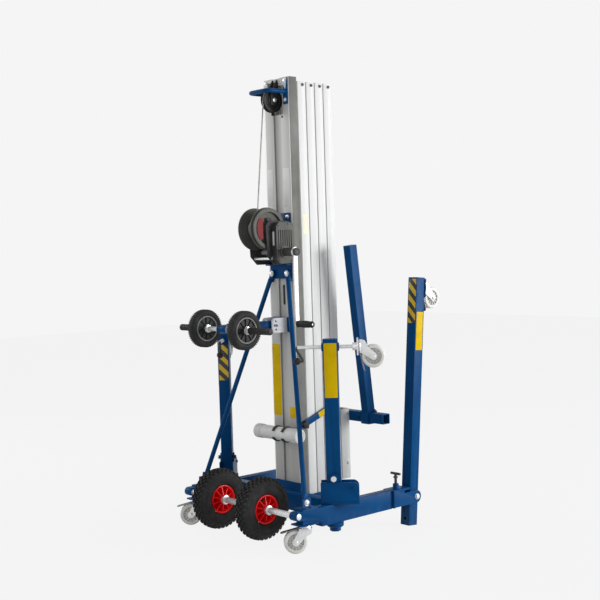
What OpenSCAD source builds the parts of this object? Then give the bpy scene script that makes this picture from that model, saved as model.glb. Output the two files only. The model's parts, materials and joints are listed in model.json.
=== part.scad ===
// Material hoist, stowed: a telescopic aluminium mast on a folding steel base.
// Lengths are in millimetres. +X is the hoist's right, +Y points to the forks, +Z is up.
// Inside the modules Y is measured from the rear face of the mast, and hoist() moves it to the origin.

/* [Mast] */
// Width of every mast section
mast_w = 164; // [140:1:180]
// Depth of one mast section
mast_d = 44; // [40:1:50]
// Gap between neighbouring sections
mast_gap = 6; // [4:0.5:9]
// Wall of the mast extrusion
mast_wall = 4; // [3:0.5:5]
// Height of the mast foot above the floor
foot_z = 150; // [142:1:160]
// Length of the fixed rear section
mast_l = 1795; // [1700:5:1900]
// Length of each lifting section
section_l = 1778; // [1650:5:1790]
// Mouth of the guide slot in a section's rear face
slot_mouth = 48; // [40:1:54]
// Undercut of the guide slot on each side
slot_undercut = 5; // [3:0.5:7]
// Thickness of the lips beside the slot mouth
slot_lip = 3; // [2.5:0.5:4]
// Depth of the guide slot
slot_d = 10; // [9:0.5:12]
// Running clearance of the guide rail in its slot
rail_clear = 0.4; // [0.3:0.05:0.6]
// Diameter of the bolt heads at the top of each section
top_bolt_d = 13; // [8:1:16]

/* [Carriage and forks] */
// Height of the carriage foot above the floor
carriage_z = 185; // [175:1:220]
// Length of the carriage
carriage_l = 312; // [290:1:340]
// Depth of the carriage
carriage_d = 50; // [46:1:56]
// Side of the square crossbar
bar_s = 44; // [38:1:50]
// Wall of the crossbar
bar_wall = 4; // [3:0.5:5]
// Length of the crossbar
bar_l = 580; // [540:5:640]
// Distance of the crossbar's axis below the carriage's top
bar_in = 33; // [28:1:40]
// Distance of a fork from the middle of the hoist
fork_x = 185; // [150:1:215]
// Width of the fork tube
fork_w = 40; // [34:1:46]
// Depth of the fork tube
fork_d = 46; // [40:1:50]
// Wall of the fork tube
fork_wall = 3.5; // [3:0.5:5]
// Length of the fork tube
fork_l = 735; // [600:5:800]
// Angle by which the fork leans towards the mast
fork_lean = 6.6; // [4:0.2:8]
// Wall of the fork shoe
shoe_wall = 6; // [5:0.5:8]
// Length of the fork shoe along the crossbar
shoe_l = 44; // [40:1:60]
// Running clearance of the shoe on the crossbar
shoe_clear = 0.4; // [0.3:0.05:0.6]

/* [Base] */
// Distance of a beam's axis from the middle of the hoist
beam_x = 353; // [330:1:370]
// Width of the beam tube
beam_w = 40; // [36:1:46]
// Height of the beam tube
beam_h = 78; // [72:1:84]
// Wall of the beam tube
beam_wall = 4; // [3:0.5:5]
// Height of the beam's top above the floor
beam_top = 173; // [170:1:176]
// How far the beam's rear end lies behind the mast
beam_rear = 250; // [235:1:260]
// How far the beam's front plate lies before the mast
beam_front = 260; // [255:1:262]
// Length of the raised tail over the castor
tail_l = 102; // [96:1:104]
// Height of the beam tail
tail_h = 52; // [48:1:54]
// Radius of the curve between tail and beam
tail_r = 20; // [10:1:24]
// Thickness of the front plate, hinge cheeks and cover plate
plate_t = 6; // [5:0.5:7]
// Distance of the castor axis from the beam's rear end
castor_in = 28; // [24:1:34]
// Side of the crossmember tube
cross_d = 44; // [38:1:46]
// Diameter of the main axle
axle_d = 25; // [20:1:28]
// How far the main axle lies behind the mast
axle_back = 270; // [268:1:280]
// Height of the main axle above the floor
axle_z = 155; // [152:1:157]
// Diameter of the tyre
tyre_d = 260; // [240:1:266]
// Width of the tyre
tyre_w = 85; // [70:1:90]
// Diameter of the tyre's seat on the rim
rim_d = 124; // [110:1:140]
// Distance of a main wheel from the middle of the hoist
wheel_x = 144; // [135:1:170]
// Length of the wheel hub
hub_l = 76; // [60:1:84]
// Running clearance of every pin and shaft, on the radius
pin_clear = 0.05; // [0.03:0.01:0.09]
// Gap between pieces that turn or slide against each other
side_gap = 0.3; // [0.2:0.05:0.4]

/* [Legs] */
// How far the leg hinge lies before the mast
leg_y = 401; // [399:1:410]
// Height of the leg hinge above the floor
leg_z = 126; // [124:0.5:127]
// Side of the square leg tube
leg_s = 50; // [46:1:52]
// Wall of the leg tube
leg_wall = 4; // [3:0.5:5]
// Distance of the hinge from the leg's rear face
leg_back = 36; // [34:0.5:37]
// Length of the leg above the hinge
leg_l = 950; // [900:5:1000]
// Angle by which the stowed leg leans forward
leg_lean = 4.9; // [3:0.1:6]
// Diameter of the hinge bolt
leg_bolt_d = 14; // [12:1:16]
// Distance of the castor axis from the leg's end
leg_castor_in = 45; // [42:1:60]
// Diameter of the plunger stem
plunger_d = 12; // [10:1:14]
// Distance of the plunger behind the hinge
plunger_back = 96; // [88:1:100]
// Height of the plunger above its boss
plunger_h = 44; // [36:1:60]
// Travel of the plunger
plunger_travel = 24; // [18:1:28]

/* [Stabilisers] */
// How far the kingpin lies behind the mast
king_back = 57; // [55:1:60]
// Diameter of the kingpin
king_d = 30; // [26:1:32]
// Diameter of the kingpin boss under the beam
boss_d = 70; // [60:1:74]
// Height of the boss under the beam
boss_h = 20; // [14:1:22]
// Direction of the stowed stabiliser, from +X towards +Y
stab_dir = 45; // [40:1:50]
// Height of the stabiliser hinge above the floor
stab_z = 278; // [272:1:284]
// Depth of the stabiliser tube, along its fold
stab_d = 60; // [50:1:62]
// Width of the stabiliser tube
stab_w = 50; // [44:1:54]
// Wall of the stabiliser tube
stab_wall = 4; // [3:0.5:5]
// Length of the stabiliser tube above its hinge
stab_l = 567; // [540:1:600]
// Length of the stabiliser tube below its hinge
stab_tail = 85; // [78:1:88]
// Diameter of the stabiliser's hinge pin
stab_pin_d = 16; // [14:1:18]
// Distance of the jack below the stabiliser's end
jack_in = 33; // [30:1:45]
// Diameter of the jack spindle
spindle_d = 16; // [14:1:20]
// Distance of the jack plate's outer face from the tube's axis
jack_out = 114; // [108:1:120]
// Distance of the crank end from the tube's axis
crank_out = 134; // [128:1:140]
// Length of the jack crank
jack_crank_l = 56; // [45:1:65]
// Diameter of the jack's ball knob
ball_d = 30; // [24:1:34]

/* [Castors] */
// Diameter of the castor wheel
castor_d = 95; // [90:1:97]
// Width of the castor wheel
castor_w = 32; // [28:1:36]
// Trail of the castor
castor_trail = 40; // [36:1:42]
// Height of the leg and jack castors
castor_h = 108; // [106:1:110]
// Diameter of the castor's axle pin
castor_pin_d = 12; // [10:1:14]
// Thickness of the plate above a leg castor
leg_plate_t = 4; // [3:0.5:5]
// Direction in which the rear castors trail
castor_dir = 233; // [200:1:260]

/* [Winch] */
// How far the drum axis lies behind the mast
drum_back = 110; // [106:1:116]
// Height of the drum axis above the floor
drum_z = 1302; // [1280:1:1320]
// Diameter of the drum flanges
flange_d = 180; // [172:1:190]
// Distance between the drum flanges
drum_w = 76; // [70:1:84]
// Diameter of the drum barrel
barrel_d = 60; // [50:1:64]
// Diameter of the drum axle
drum_axle_d = 20; // [16:1:24]
// Diameter of the cable
cable_d = 6; // [5:0.5:6]
// Radius of the outer layer of cable on the drum
wind_r = 42; // [41:0.5:44]
// Loops in the outer layer of cable
wind_loops = 10; // [6:1:10]
// Step from one loop to the next
wind_step = 6.7; // [6.6:0.1:7]
// Gear module
gear_m = 2.5; // [2.5:0.5:2.5]
// Teeth of the drum gear
gear_teeth = 66; // [60:1:66]
// Teeth of the pinion
pinion_teeth = 22; // [18:1:24]
// Width of the gears
gear_w = 12; // [8:1:14]
// Direction of the pinion from the drum, below the horizontal
pinion_dir = 64.5; // [62:0.5:70]
// Thickness of the winch plates
frame_t = 5; // [4:0.5:6]
// Depth of the gear cover
cover_w = 30; // [26:1:36]
// Radius of the crank
crank_r = 302; // [280:1:306]
// Distance of the crank arm from the middle of the hoist
crank_x = 157; // [155:1:165]
// Diameter of the crank grip
grip_d = 30; // [26:1:34]
// Length of the crank grip
grip_l = 96; // [80:1:110]

/* [Mast top] */
// Distance of the sheave axis behind the mast
sheave_back = 28; // [26:1:30]
// Distance of the sheave axis below the mast's top
sheave_in = 95; // [86:1:110]
// Radius of the cable on the sheave
sheave_r = 46; // [44:1:48]
// Width of the sheave
sheave_w = 22; // [18:1:24]
// Distance of the guard bow below the mast's top
bow_in = 63; // [50:1:75]
// Diameter of the bow tube
bow_d = 18; // [14:1:20]
// Distance of the bow's legs from the middle of the hoist
bow_x = 62; // [60:1:66]
// How far the bow stands behind the mast
bow_back = 100; // [92:1:115]

/* [Fittings] */
// How far the tip axle lies behind the mast
tip_back = 324; // [310:1:340]
// Distance of the tip axle below the drum axis
tip_drop = 412; // [402:1:422]
// Diameter of the tip wheels
tip_d = 160; // [150:1:166]
// Width of the tip wheels
tip_w = 40; // [34:1:40]
// Distance of a tip wheel from the middle of the hoist
tip_x = 132; // [125:1:134]
// Diameter of the tip axle
tip_axle_d = 20; // [16:1:24]
// Gap between a tip wheel's collar and its hand grip
hand_gap = 14; // [8:1:24]
// Length of a hand grip
hand_l = 125; // [100:1:128]
// Diameter of a hand grip
hand_d = 28; // [26:1:32]
// Side of the tip arm
tip_arm_s = 40; // [34:1:44]
// Diameter of a brace
brace_d = 20; // [16:1:22]
// Diameter of the document tube
doc_d = 58; // [50:1:62]
// Height of the document tube above the floor
doc_z = 425; // [410:1:440]
// Distance of the document tube's axis behind the mast
doc_back = 62; // [56:1:70]
// Left end of the document tube
doc_left = -118; // [-130:1:-100]
// Right end of the document tube
doc_right = 158; // [140:1:170]
// Height of the transport lock's pivot above the floor
lock_z = 458; // [445:1:470]
// Length of the transport lock bar
lock_l = 190; // [160:1:200]
// Rise of the transport lock bar towards the forks
lock_rise = 20; // [15:1:25]

/* [Hidden] */
$fn = 48;
eps = 0.01;

// Mast
pitch = mast_d + mast_gap;
lift_sections = 4;
carriage_y = (lift_sections + 1) * pitch;
bar_y = carriage_y + carriage_d + bar_s / 2;
bar_z = carriage_z + carriage_l - bar_in;
slot_w = slot_mouth + 2 * slot_undercut;
mast_top = foot_z + mast_l;
sheave_z = mast_top - sheave_in;
bow_z = mast_top - bow_in;
section_z = foot_z + side_gap;
section_top = section_z + section_l;
foot_t = 8;

// Castors
rear_castor_h = beam_top - tail_h - plate_t;
castor_y = -beam_rear + castor_in;
fork_leg_t = 3.5;
crown_z = castor_d + 3;
crown_t = 4;
head_d = 56;
stud_d = 14;

// Legs
leg_front = leg_s - leg_back;
leg_castor_s = leg_l - leg_castor_in;
leg_castor_h = leg_z - leg_front - leg_plate_t;
leg_tail = (leg_z - leg_front * sin(leg_lean)) / cos(leg_lean);
cheek_in = leg_s / 2 + 1;
cheek_out = cheek_in + plate_t;
cover_top = beam_top;
cover_z = leg_z + leg_back + 2;
plunger_y = leg_y - plunger_back;
plunger_boss_h = 20;
plunger_tip = cover_z + 1;
cheek_front = leg_y + 27;

// Stabilisers
stab_base_z = beam_top + side_gap;
stab_base_t = 8;
stab_base_w = 70;
cheek_gap = stab_w / 2 + 0.5;
stab_cheek_out = cheek_gap + plate_t;
stab_cheek_top = stab_z - 16;
stab_in = -54;
stab_out = 102;
stop_d = 12;
stop_x = 80;
stop_z = stab_z - stab_d / 2 - stop_d / 2 - side_gap;
king_low = beam_top - beam_h - boss_h;
nut_t = 12;
jack_plate_t = 6;
jack_up = stab_l - jack_in;
jack_plate_s = 70;
collar_l = 18;

// Winch
gear_r = gear_m * gear_teeth / 2;
pinion_r = gear_m * pinion_teeth / 2;
gear_gap = 0.5;
gear_contact = 90 - pinion_dir;
gear_step = 360 / gear_teeth;
gear_space = (floor(gear_contact / gear_step) + 0.5) * gear_step;
pinion_turn = 180 + gear_contact - (gear_space - gear_contact) * gear_teeth / pinion_teeth;
pinion_c = gear_r + pinion_r + gear_gap;
pinion_y = -drum_back + pinion_c * cos(pinion_dir);
pinion_z = drum_z - pinion_c * sin(pinion_dir);
flange_t = 4;
drum_half = drum_w / 2 + flange_t;
frame_left = -drum_half - 5 - frame_t;
shroud_t = 2.5;
frame_right = drum_half + gear_w + shroud_t + 4;
cover_x = frame_right + frame_t;
bracket_t = 6;
frame_back = -bracket_t - frame_t;
frame_drop = 152;
frame_low = drum_z - frame_drop;
frame_high = drum_z + 33;
frame_rear = -drum_back - 26;
cover_rear = -drum_back + 4;
crank_shaft_d = 22;
arm_t = 8;
wind_x0 = -wind_loops * wind_step / 2;
cable_wind_r = wind_r + cable_d + 0.6;

// Tip axle
tip_z = drum_z - tip_drop;
tip_collar = 8;
grip_end = 4;
tip_axle_l = 2 * (tip_x + tip_w / 2 + side_gap + tip_collar + hand_gap + hand_l - grip_end);

// Route of the lift cable beside the drum and over the sheave
cable_drum_x = wind_loops * wind_step / 2 - 2;
cable_low = [cable_drum_x, -drum_back - cable_wind_r, drum_z];
cable_high = [0, -sheave_back - sheave_r, sheave_z];
cable_end_z = foot_z + 60;

// The whole hoist
rear_y = -tip_back - tip_d / 2;
wheel_s = leg_castor_s - castor_trail;
wheel_out = leg_z - castor_d / 2;
front_y = leg_y + wheel_out * cos(leg_lean) + wheel_s * sin(leg_lean) + castor_d / 2;
y_shift = -(rear_y + front_y) / 2;

blue = [0.05, 0.2, 0.42];
alu = [0.78, 0.79, 0.8];
zinc = [0.68, 0.7, 0.72];
black = [0.08, 0.08, 0.09];
red = [0.75, 0.06, 0.08];
white = [0.86, 0.85, 0.82];

// Shared shapes and places

// Moves the hoist from the mast's rear face to its origin
module hoist() {
  translate([0, y_shift, 0]) children();
}

// The left copy of something made for the right
module left() {
  mirror([1, 0, 0]) children();
}

module on_both_sides() {
  children();
  left() children();
}

// A cylinder along X
module x_rod(x0, x1, d) {
  translate([x0, 0, 0]) rotate([0, 90, 0]) cylinder(h = x1 - x0, d = d);
}

// A cylinder along Y
module y_rod(y0, y1, d) {
  translate([0, y0, 0]) rotate([-90, 0, 0]) cylinder(h = y1 - y0, d = d);
}

// A box between two corners
module block(low, high) {
  translate(low) cube(high - low);
}

// A rod between two points
module rod(a, b, d) {
  v = b - a;
  translate(a) rotate([0, acos(v[2] / norm(v)), atan2(v[1], v[0])]) cylinder(h = norm(v), d = d);
}

module rounded_square(w, h, r) {
  square([w - 2 * r, h], center = true);
  square([w, h - 2 * r], center = true);
  for (x = [-1, 1], y = [-1, 1]) translate([x * (w / 2 - r), y * (h / 2 - r)]) circle(r);
}

// A plate in the YZ plane from a flat outline, between two X values
module side_plate(x0, x1) {
  translate([x0, 0, 0]) rotate([90, 0, 90]) linear_extrude(x1 - x0) children();
}

// A hexagon bolt head along +X
module hex_head(d, h) {
  rotate([0, 90, 0]) cylinder(h = h, d = d, $fn = 6);
}

// The frame of the right stowed stabiliser, with its hinge at the origin and its fold along +X
module at_stabiliser() {
  translate([beam_x, -king_back, stab_z]) rotate([0, 0, stab_dir]) children();
}

// The frame of the right stowed leg, with its hinge at the origin and the leg along +Z
module at_leg() {
  translate([beam_x, leg_y, leg_z]) rotate([-leg_lean, 0, 0]) children();
}

// A castor's frame under a jack or a leg: the floor side of the castor faces +X or +Y
module under_jack() {
  at_stabiliser() translate([jack_out + castor_h, 0, jack_up])
    rotate([0, -90, 0]) rotate([0, 0, 180]) children();
}

module under_leg() {
  at_leg() translate([0, leg_z, leg_castor_s]) rotate([90, 0, 0]) rotate([0, 0, -90]) children();
}

module under_beam() {
  translate([beam_x, castor_y, 0]) rotate([0, 0, castor_dir]) children();
}

module under_left_beam() {
  translate([-beam_x, castor_y, 0]) rotate([0, 0, castor_dir]) children();
}

// Mast

// Cross-section of a mast extrusion, with its slot behind and a rail in front
module section_profile(depth, with_rail) {
  neck_l = mast_gap + slot_lip + rail_clear;
  head_t = slot_d - slot_lip - 2 * rail_clear;
  chamber_x = slot_w / 2 + mast_wall;
  difference() {
    union() {
      translate([-mast_w / 2, 0]) square([mast_w, depth]);
      if (with_rail) {
        translate([-slot_mouth / 2 + rail_clear, depth - eps])
          square([slot_mouth - 2 * rail_clear, neck_l + 2 * eps]);
        translate([-slot_w / 2 + rail_clear, depth + neck_l]) square([slot_w - 2 * rail_clear, head_t]);
      }
    }
    translate([-slot_mouth / 2, -1]) square([slot_mouth, slot_lip + 1 + eps]);
    translate([-slot_w / 2, slot_lip]) square([slot_w, slot_d - slot_lip]);
    translate([-slot_w / 2, slot_d + mast_wall]) square([slot_w, depth - slot_d - 2 * mast_wall]);
    for (side = [0, 1]) mirror([side, 0]) translate([chamber_x, mast_wall])
      square([mast_w / 2 - mast_wall - chamber_x, depth - 2 * mast_wall]);
  }
}

module lifting_section(i) {
  translate([0, i * pitch, 0]) {
    translate([0, 0, section_z]) linear_extrude(section_l) section_profile(mast_d, true);
    on_both_sides() translate([mast_w / 2, mast_d * 0.62, section_top - 14]) hex_head(top_bolt_d, 5);
  }
}

module mast_section_1() {
  window_w = 2 * 38;
  color(alu) hoist() difference() {
    translate([0, 0, foot_z]) linear_extrude(mast_l) section_profile(mast_d, true);
    block([-window_w / 2, -1, sheave_z - 60], [window_w / 2, slot_d + mast_wall + 1, sheave_z + 60]);
    block([-8, slot_d - 1, 975], [8, slot_d + mast_wall + 1, 1060]);
  }
}

module mast_section_2() { color(alu) hoist() lifting_section(1); }
module mast_section_3() { color(alu) hoist() lifting_section(2); }
module mast_section_4() { color(alu) hoist() lifting_section(3); }
module mast_section_5() { color(alu) hoist() lifting_section(4); }

module carriage() {
  color(alu) hoist() translate([0, carriage_y, carriage_z]) {
    linear_extrude(carriage_l) section_profile(carriage_d, false);
    on_both_sides() translate([mast_w / 2, carriage_d * 0.7, 70]) hex_head(top_bolt_d, 5);
  }
}

module crossbar() {
  color(blue) hoist() translate([0, bar_y, bar_z]) rotate([90, 0, 90])
    linear_extrude(bar_l, center = true) difference() {
      rounded_square(bar_s, bar_s, 4);
      rounded_square(bar_s - 2 * bar_wall, bar_s - 2 * bar_wall, 1.5);
    }
}

// The right fork: a shoe round the crossbar, the leaning tube on it and a wire spring clip
module fork() {
  shoe_in = bar_s + 2 * shoe_clear;
  shoe_out = shoe_in + 2 * shoe_wall;
  clip_r = 12;
  clip_d = 5;
  translate([fork_x, bar_y, bar_z]) {
    rotate([90, 0, 90]) linear_extrude(shoe_l, center = true) difference() {
      rounded_square(shoe_out, shoe_out, 5);
      rounded_square(shoe_in, shoe_in, 3);
    }
    difference() {
      translate([0, -1, 0]) rotate([fork_lean, 0, 0]) difference() {
        linear_extrude(shoe_out / 2 + fork_l) rounded_square(fork_w, fork_d, 4);
        translate([0, 0, -1]) linear_extrude(shoe_out / 2 + fork_l - fork_wall + 1)
          rounded_square(fork_w - 2 * fork_wall, fork_d - 2 * fork_wall, 2);
      }
      block([-50, -100, -100], [50, 100, shoe_out / 2 - eps]);
    }
    translate([-shoe_l / 2 - clip_r, -shoe_in / 2 - clip_d / 2, -6]) {
      rotate([90, 0, 0]) rotate_extrude(angle = 270) translate([clip_r, 0]) circle(d = clip_d, $fn = 16);
      translate([clip_r, 0, 0]) rotate([-14, 0, 0]) translate([0, 0, -22]) cylinder(h = 22, d = clip_d);
    }
  }
}

module fork_right() { color(blue) hoist() fork(); }
module fork_left() { color(blue) hoist() left() fork(); }

// Transport lock: a flat bar on the mast's right side, with its knob on the pivot
lock_w = 28;
lock_t = 6;
lock_x = mast_w / 2 + 4;
lock_pin_d = 10;
lock_y = 22;
module transport_lock() {
  color(blue) hoist() translate([0, lock_y, lock_z]) rotate([lock_rise, 0, 0]) {
    difference() {
      side_plate(lock_x, lock_x + lock_t) {
        translate([0, -lock_w / 2]) square([lock_l, lock_w]);
        circle(d = lock_w);
        translate([lock_l, 0]) circle(d = lock_w);
      }
      x_rod(lock_x - 1, lock_x + lock_t + 1, lock_pin_d + 2 * pin_clear);
    }
    difference() {
      x_rod(lock_x + lock_t, lock_x + lock_t + 16, 26);
      x_rod(lock_x + lock_t - 1, lock_x + lock_t + 10, lock_pin_d + 2 * pin_clear);
    }
  }
}

// Mast top

module top_sheave() {
  rim = sheave_r + 6;
  groove = sheave_r - cable_d / 2 - side_gap;
  half = sheave_w / 2;
  color(black) hoist() translate([0, -sheave_back, sheave_z]) rotate([0, 90, 0]) difference() {
    rotate_extrude() polygon([[0, -half], [24, -half], [27, -half + 5], [groove - 8, -half + 5],
      [groove - 4, -half], [rim - 1, -half], [rim, -half + 1], [groove, -cable_d / 2], [groove, cable_d / 2],
      [rim, half - 1], [rim - 1, half], [groove - 4, half], [groove - 8, half - 5], [27, half - 5],
      [24, half], [0, half]]);
    cylinder(h = 2 * half + 2, d = sheave_pin_d + 2 * pin_clear, center = true);
  }
}

sheave_pin_d = 12;
cheek_x = sheave_w / 2 + side_gap;
cheek_t = 5;
bow_plate_t = 5;

// Guard bow: a bent tube on two end plates, joined by a strip that carries the sheave's cheeks
module guard_bow() {
  bend = 22;
  plate_low = sheave_z - 20;
  color(blue) hoist() {
    on_both_sides() {
      translate([bow_x, 0, bow_z]) y_rod(-bow_back + bend, -bow_plate_t + eps, bow_d);
      translate([bow_x - bend, -bow_back + bend, bow_z]) rotate([0, 0, -90]) rotate_extrude(angle = 90)
        translate([bend, 0]) circle(d = bow_d);
      block([bow_x - 14, -bow_plate_t, plate_low], [bow_x + 14, 0, mast_top - 3]);
      difference() {
        side_plate(cheek_x, cheek_x + cheek_t) polygon([[0, mast_top - 8], [0, sheave_z + 62],
          [-12, sheave_z - 20], [-sheave_back - 16, sheave_z - 20], [-sheave_back - 16, sheave_z + 24],
          [-10, mast_top - 8]]);
        translate([0, -sheave_back, sheave_z]) x_rod(0, 40, sheave_pin_d + 2 * pin_clear);
      }
    }
    translate([0, -bow_back, bow_z]) x_rod(-bow_x + bend, bow_x - bend, bow_d);
    block([-bow_x, -bow_plate_t, sheave_z + 62], [bow_x, 0, mast_top - 3]);
  }
}

// Lift cable: half a turn off the drum, up to the sheave, over it and down inside the mast
module lift_cable() {
  turn = 150;
  color(zinc) hoist() {
    translate([cable_drum_x, -drum_back, drum_z]) rotate([0, 90, 0]) rotate([0, 0, -90])
      rotate_extrude(angle = turn) translate([cable_wind_r, 0]) circle(d = cable_d, $fn = 16);
    translate(cable_low) sphere(d = cable_d + 0.6, $fn = 16);
    rod(cable_low, cable_high, cable_d);
    translate(cable_high) sphere(d = cable_d + 0.6, $fn = 16);
    translate([0, -sheave_back, sheave_z]) rotate([0, 90, 0]) rotate([0, 0, 90]) rotate_extrude(angle = 180)
      translate([sheave_r, 0]) circle(d = cable_d, $fn = 16);
    translate([0, -sheave_back + sheave_r, sheave_z]) sphere(d = cable_d + 0.6, $fn = 16);
    translate([0, -sheave_back + sheave_r, cable_end_z]) cylinder(h = sheave_z - cable_end_z, d = cable_d);
  }
}

// Winch

// A spur gear with straight-sided teeth, thinned for backlash
module gear_outline(teeth) {
  r = gear_m * teeth / 2;
  tip = r + 0.8 * gear_m;
  root = r - 1.15 * gear_m;
  step = 360 / teeth;
  polygon([for (i = [0:teeth - 1], p = [[root, -0.33], [tip, -0.12], [tip, 0.12], [root, 0.33]])
    [p[0] * cos((i + p[1]) * step), p[0] * sin((i + p[1]) * step)]]);
}

module winch_bracket() {
  drop = 62;
  color(blue) hoist() {
    block([-70, -bracket_t, frame_low - drop], [70, 0, frame_high - 20]);
    block([10, -bracket_t, frame_high - 20 - eps], [70, 0, frame_high + 34]);
    block([-70, -bracket_t - 26, frame_low - 6], [70, -bracket_t + eps, frame_low]);
  }
}

// Winch frame: two side plates and a back plate, with the fixed drum axle
module winch_frame() {
  color(black) hoist() {
    for (x = [frame_left, frame_right]) difference() {
      side_plate(x, x + frame_t) difference() {
        polygon([[-bracket_t, frame_low], [frame_rear + 40, frame_low], [frame_rear + 6, frame_low + 34],
          [frame_rear, drum_z - 20], [frame_rear, drum_z + 14], [frame_rear + 16, frame_high],
          [-bracket_t, frame_high]]);
        translate([-50, drum_z - 40]) circle(d = 46);
      }
      translate([0, pinion_y, pinion_z]) x_rod(x - 1, x + frame_t + 1, crank_shaft_d + 2 * pin_clear);
    }
    difference() {
      block([frame_left, frame_back, frame_low], [frame_right + frame_t, -bracket_t, frame_high]);
      block([-30, frame_back - 1, drum_z - 90], [30, 0, drum_z - 20]);
    }
    translate([0, -drum_back, drum_z]) {
      x_rod(frame_left - 3, frame_right + frame_t, drum_axle_d);
      x_rod(frame_left - 10, frame_left, drum_axle_d + 10);
    }
  }
}

// Gear cover: an open-backed shell with cooling ribs over the brake
module gear_cover() {
  low = frame_low + 4;
  high = frame_high - 6;
  front = -bracket_t - 2;
  wall = 3;
  rib_w = 4;
  rib_count = 7;
  rib_in = 14;
  rib_step = (front - cover_rear - 2 * rib_in) / (rib_count - 1);
  color(black) hoist() difference() {
    union() {
      difference() {
        side_plate(cover_x, cover_x + cover_w) cover_outline(cover_rear, front, low, high, 0);
        side_plate(cover_x - 1, cover_x + cover_w - wall) cover_outline(cover_rear, front, low, high, wall);
      }
      for (i = [0:rib_count - 1])
        block([cover_x + cover_w - eps, cover_rear + rib_in + i * rib_step - rib_w / 2, low + 66],
          [cover_x + cover_w + 3, cover_rear + rib_in + i * rib_step + rib_w / 2, high - 34]);
      translate([0, pinion_y, pinion_z]) x_rod(cover_x + cover_w - eps, cover_x + cover_w + 4, 52);
    }
    translate([0, pinion_y, pinion_z])
      x_rod(cover_x - 2, cover_x + cover_w + 5, crank_shaft_d + 2 * pin_clear);
  }
}

module cover_outline(rear, front, low, high, inset) {
  r = 34 - inset;
  y0 = rear + inset;
  y1 = front - inset;
  z0 = low + inset;
  z1 = high - inset;
  polygon([[y0, z0 + r / 2], [y0 + r / 2, z0], [y1, z0], [y1, z1 - r], [y1 - r, z1], [y0 + r / 2, z1],
    [y0, z1 - r / 2]]);
  translate([y1 - r, z1 - r]) circle(r);
}

module winch_drum() {
  half = drum_w / 2;
  f = flange_d / 2;
  shroud_r = gear_r + gear_m + 1;
  color(black) hoist() translate([0, -drum_back, drum_z]) rotate([0, 90, 0]) difference() {
    union() {
      rotate_extrude() polygon([[0, -drum_half], [f - 5, -drum_half], [f - 3, -drum_half - 2],
        [f, -drum_half], [f, -half + 1], [f - 4, -half], [barrel_d / 2, -half], [barrel_d / 2, half],
        [f - 4, half], [f, half - 1], [f, drum_half], [0, drum_half]]);
      translate([0, 0, drum_half - eps]) linear_extrude(gear_w + eps) gear_outline(gear_teeth);
      translate([0, 0, drum_half + gear_w - eps]) cylinder(h = shroud_t, r = shroud_r, $fn = 72);
    }
    cylinder(h = 4 * half, d = drum_axle_d + 2 * pin_clear, center = true);
    translate([0, 0, drum_half + 4]) difference() {
      cylinder(h = gear_w + shroud_t, r = gear_r - 12);
      translate([0, 0, -1]) cylinder(h = gear_w + shroud_t + 2, r = drum_axle_d / 2 + 12);
    }
  }
}

// Outer layer of cable: one helical tube over a plain core
wind_rings = 24;
wind_sides = 6;
wind_stub = [for (k = [2, 1]) k * cable_d / 2];
function wind_at(a) = [wind_x0 + wind_step * a / 360, wind_r * sin(a), wind_r * cos(a)];
function wind_dir(a) =
  let(v = [wind_step / 360 * 180 / PI, wind_r * cos(a), -wind_r * sin(a)]) v / norm(v);
wind_last = wind_loops * 360;
wind_path = concat(
  [for (s = wind_stub) wind_at(0) - s * wind_dir(0)],
  [for (i = [0:wind_loops * wind_rings]) wind_at(i * 360 / wind_rings)],
  [for (k = [1, 2]) wind_at(wind_last) + k * cable_d / 2 * wind_dir(wind_last)]);
function path_dir(p, i) = let(v = p[min(i + 1, len(p) - 1)] - p[max(i - 1, 0)]) v / norm(v);
function ring(p, i, r, sides) =
  let(t = path_dir(p, i), side = cross(t, [1, 0, 0]), u = side / norm(side), v = cross(t, u))
  [for (k = [0:sides - 1]) p[i] + r * (cos(360 * k / sides) * u + sin(360 * k / sides) * v)];
module tube(p, r, sides) {
  n = len(p);
  points = [for (i = [0:n - 1]) each ring(p, i, r, sides)];
  walls = [for (i = [0:n - 2], k = [0:sides - 1]) let(a = i * sides + k, b = i * sides + (k + 1) % sides)
    each [[a, a + sides, b], [b, a + sides, b + sides]]];
  last = (n - 1) * sides;
  caps = [for (k = [1:sides - 2]) each [[0, k, k + 1], [last, last + k + 1, last + k]]];
  polyhedron(points, concat(walls, caps), convexity = 10);
}

// Least gap between one loop and the next, measured between their points
wind_gap = min([for (i = [0:len(wind_path) - 1], j = [i + wind_rings / 2:i + wind_rings * 3 / 2])
  if (j < len(wind_path)) norm(wind_path[j] - wind_path[i])]) - cable_d;
echo(winding_least_gap = wind_gap);

module drum_winding() {
  color(zinc) hoist() translate([0, -drum_back, drum_z]) {
    tube(wind_path, cable_d / 2, wind_sides);
    difference() {
      x_rod(-drum_w / 2 + side_gap, drum_w / 2 - side_gap, 2 * (wind_r - cable_d / 2 - side_gap));
      x_rod(-drum_w, drum_w, barrel_d + 2 * side_gap);
    }
  }
}

// Crank: the pinion's shaft, a long hub, the flat arm hanging down and the pin of its grip
module winch_crank() {
  hub_x = cover_x + cover_w + 4 + side_gap;
  arm_w = 20;
  color(zinc) hoist() translate([0, pinion_y, pinion_z]) {
    x_rod(frame_left - 6, crank_x + arm_t + 4, crank_shaft_d);
    translate([drum_half + 0.5, 0, 0]) rotate([0, 90, 0]) rotate([0, 0, pinion_turn])
      linear_extrude(gear_w - 1) gear_outline(pinion_teeth);
    x_rod(hub_x, crank_x + eps, 36);
    side_plate(crank_x, crank_x + arm_t) {
      translate([-arm_w / 2, -crank_r]) square([arm_w, crank_r]);
      circle(d = 38);
      translate([0, -crank_r]) circle(d = arm_w);
    }
    translate([crank_x + arm_t, 0, 0]) hex_head(24, 9);
    translate([0, 0, -crank_r]) x_rod(crank_x + 1, crank_x + arm_t + grip_l - 4, 12);
  }
}

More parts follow.
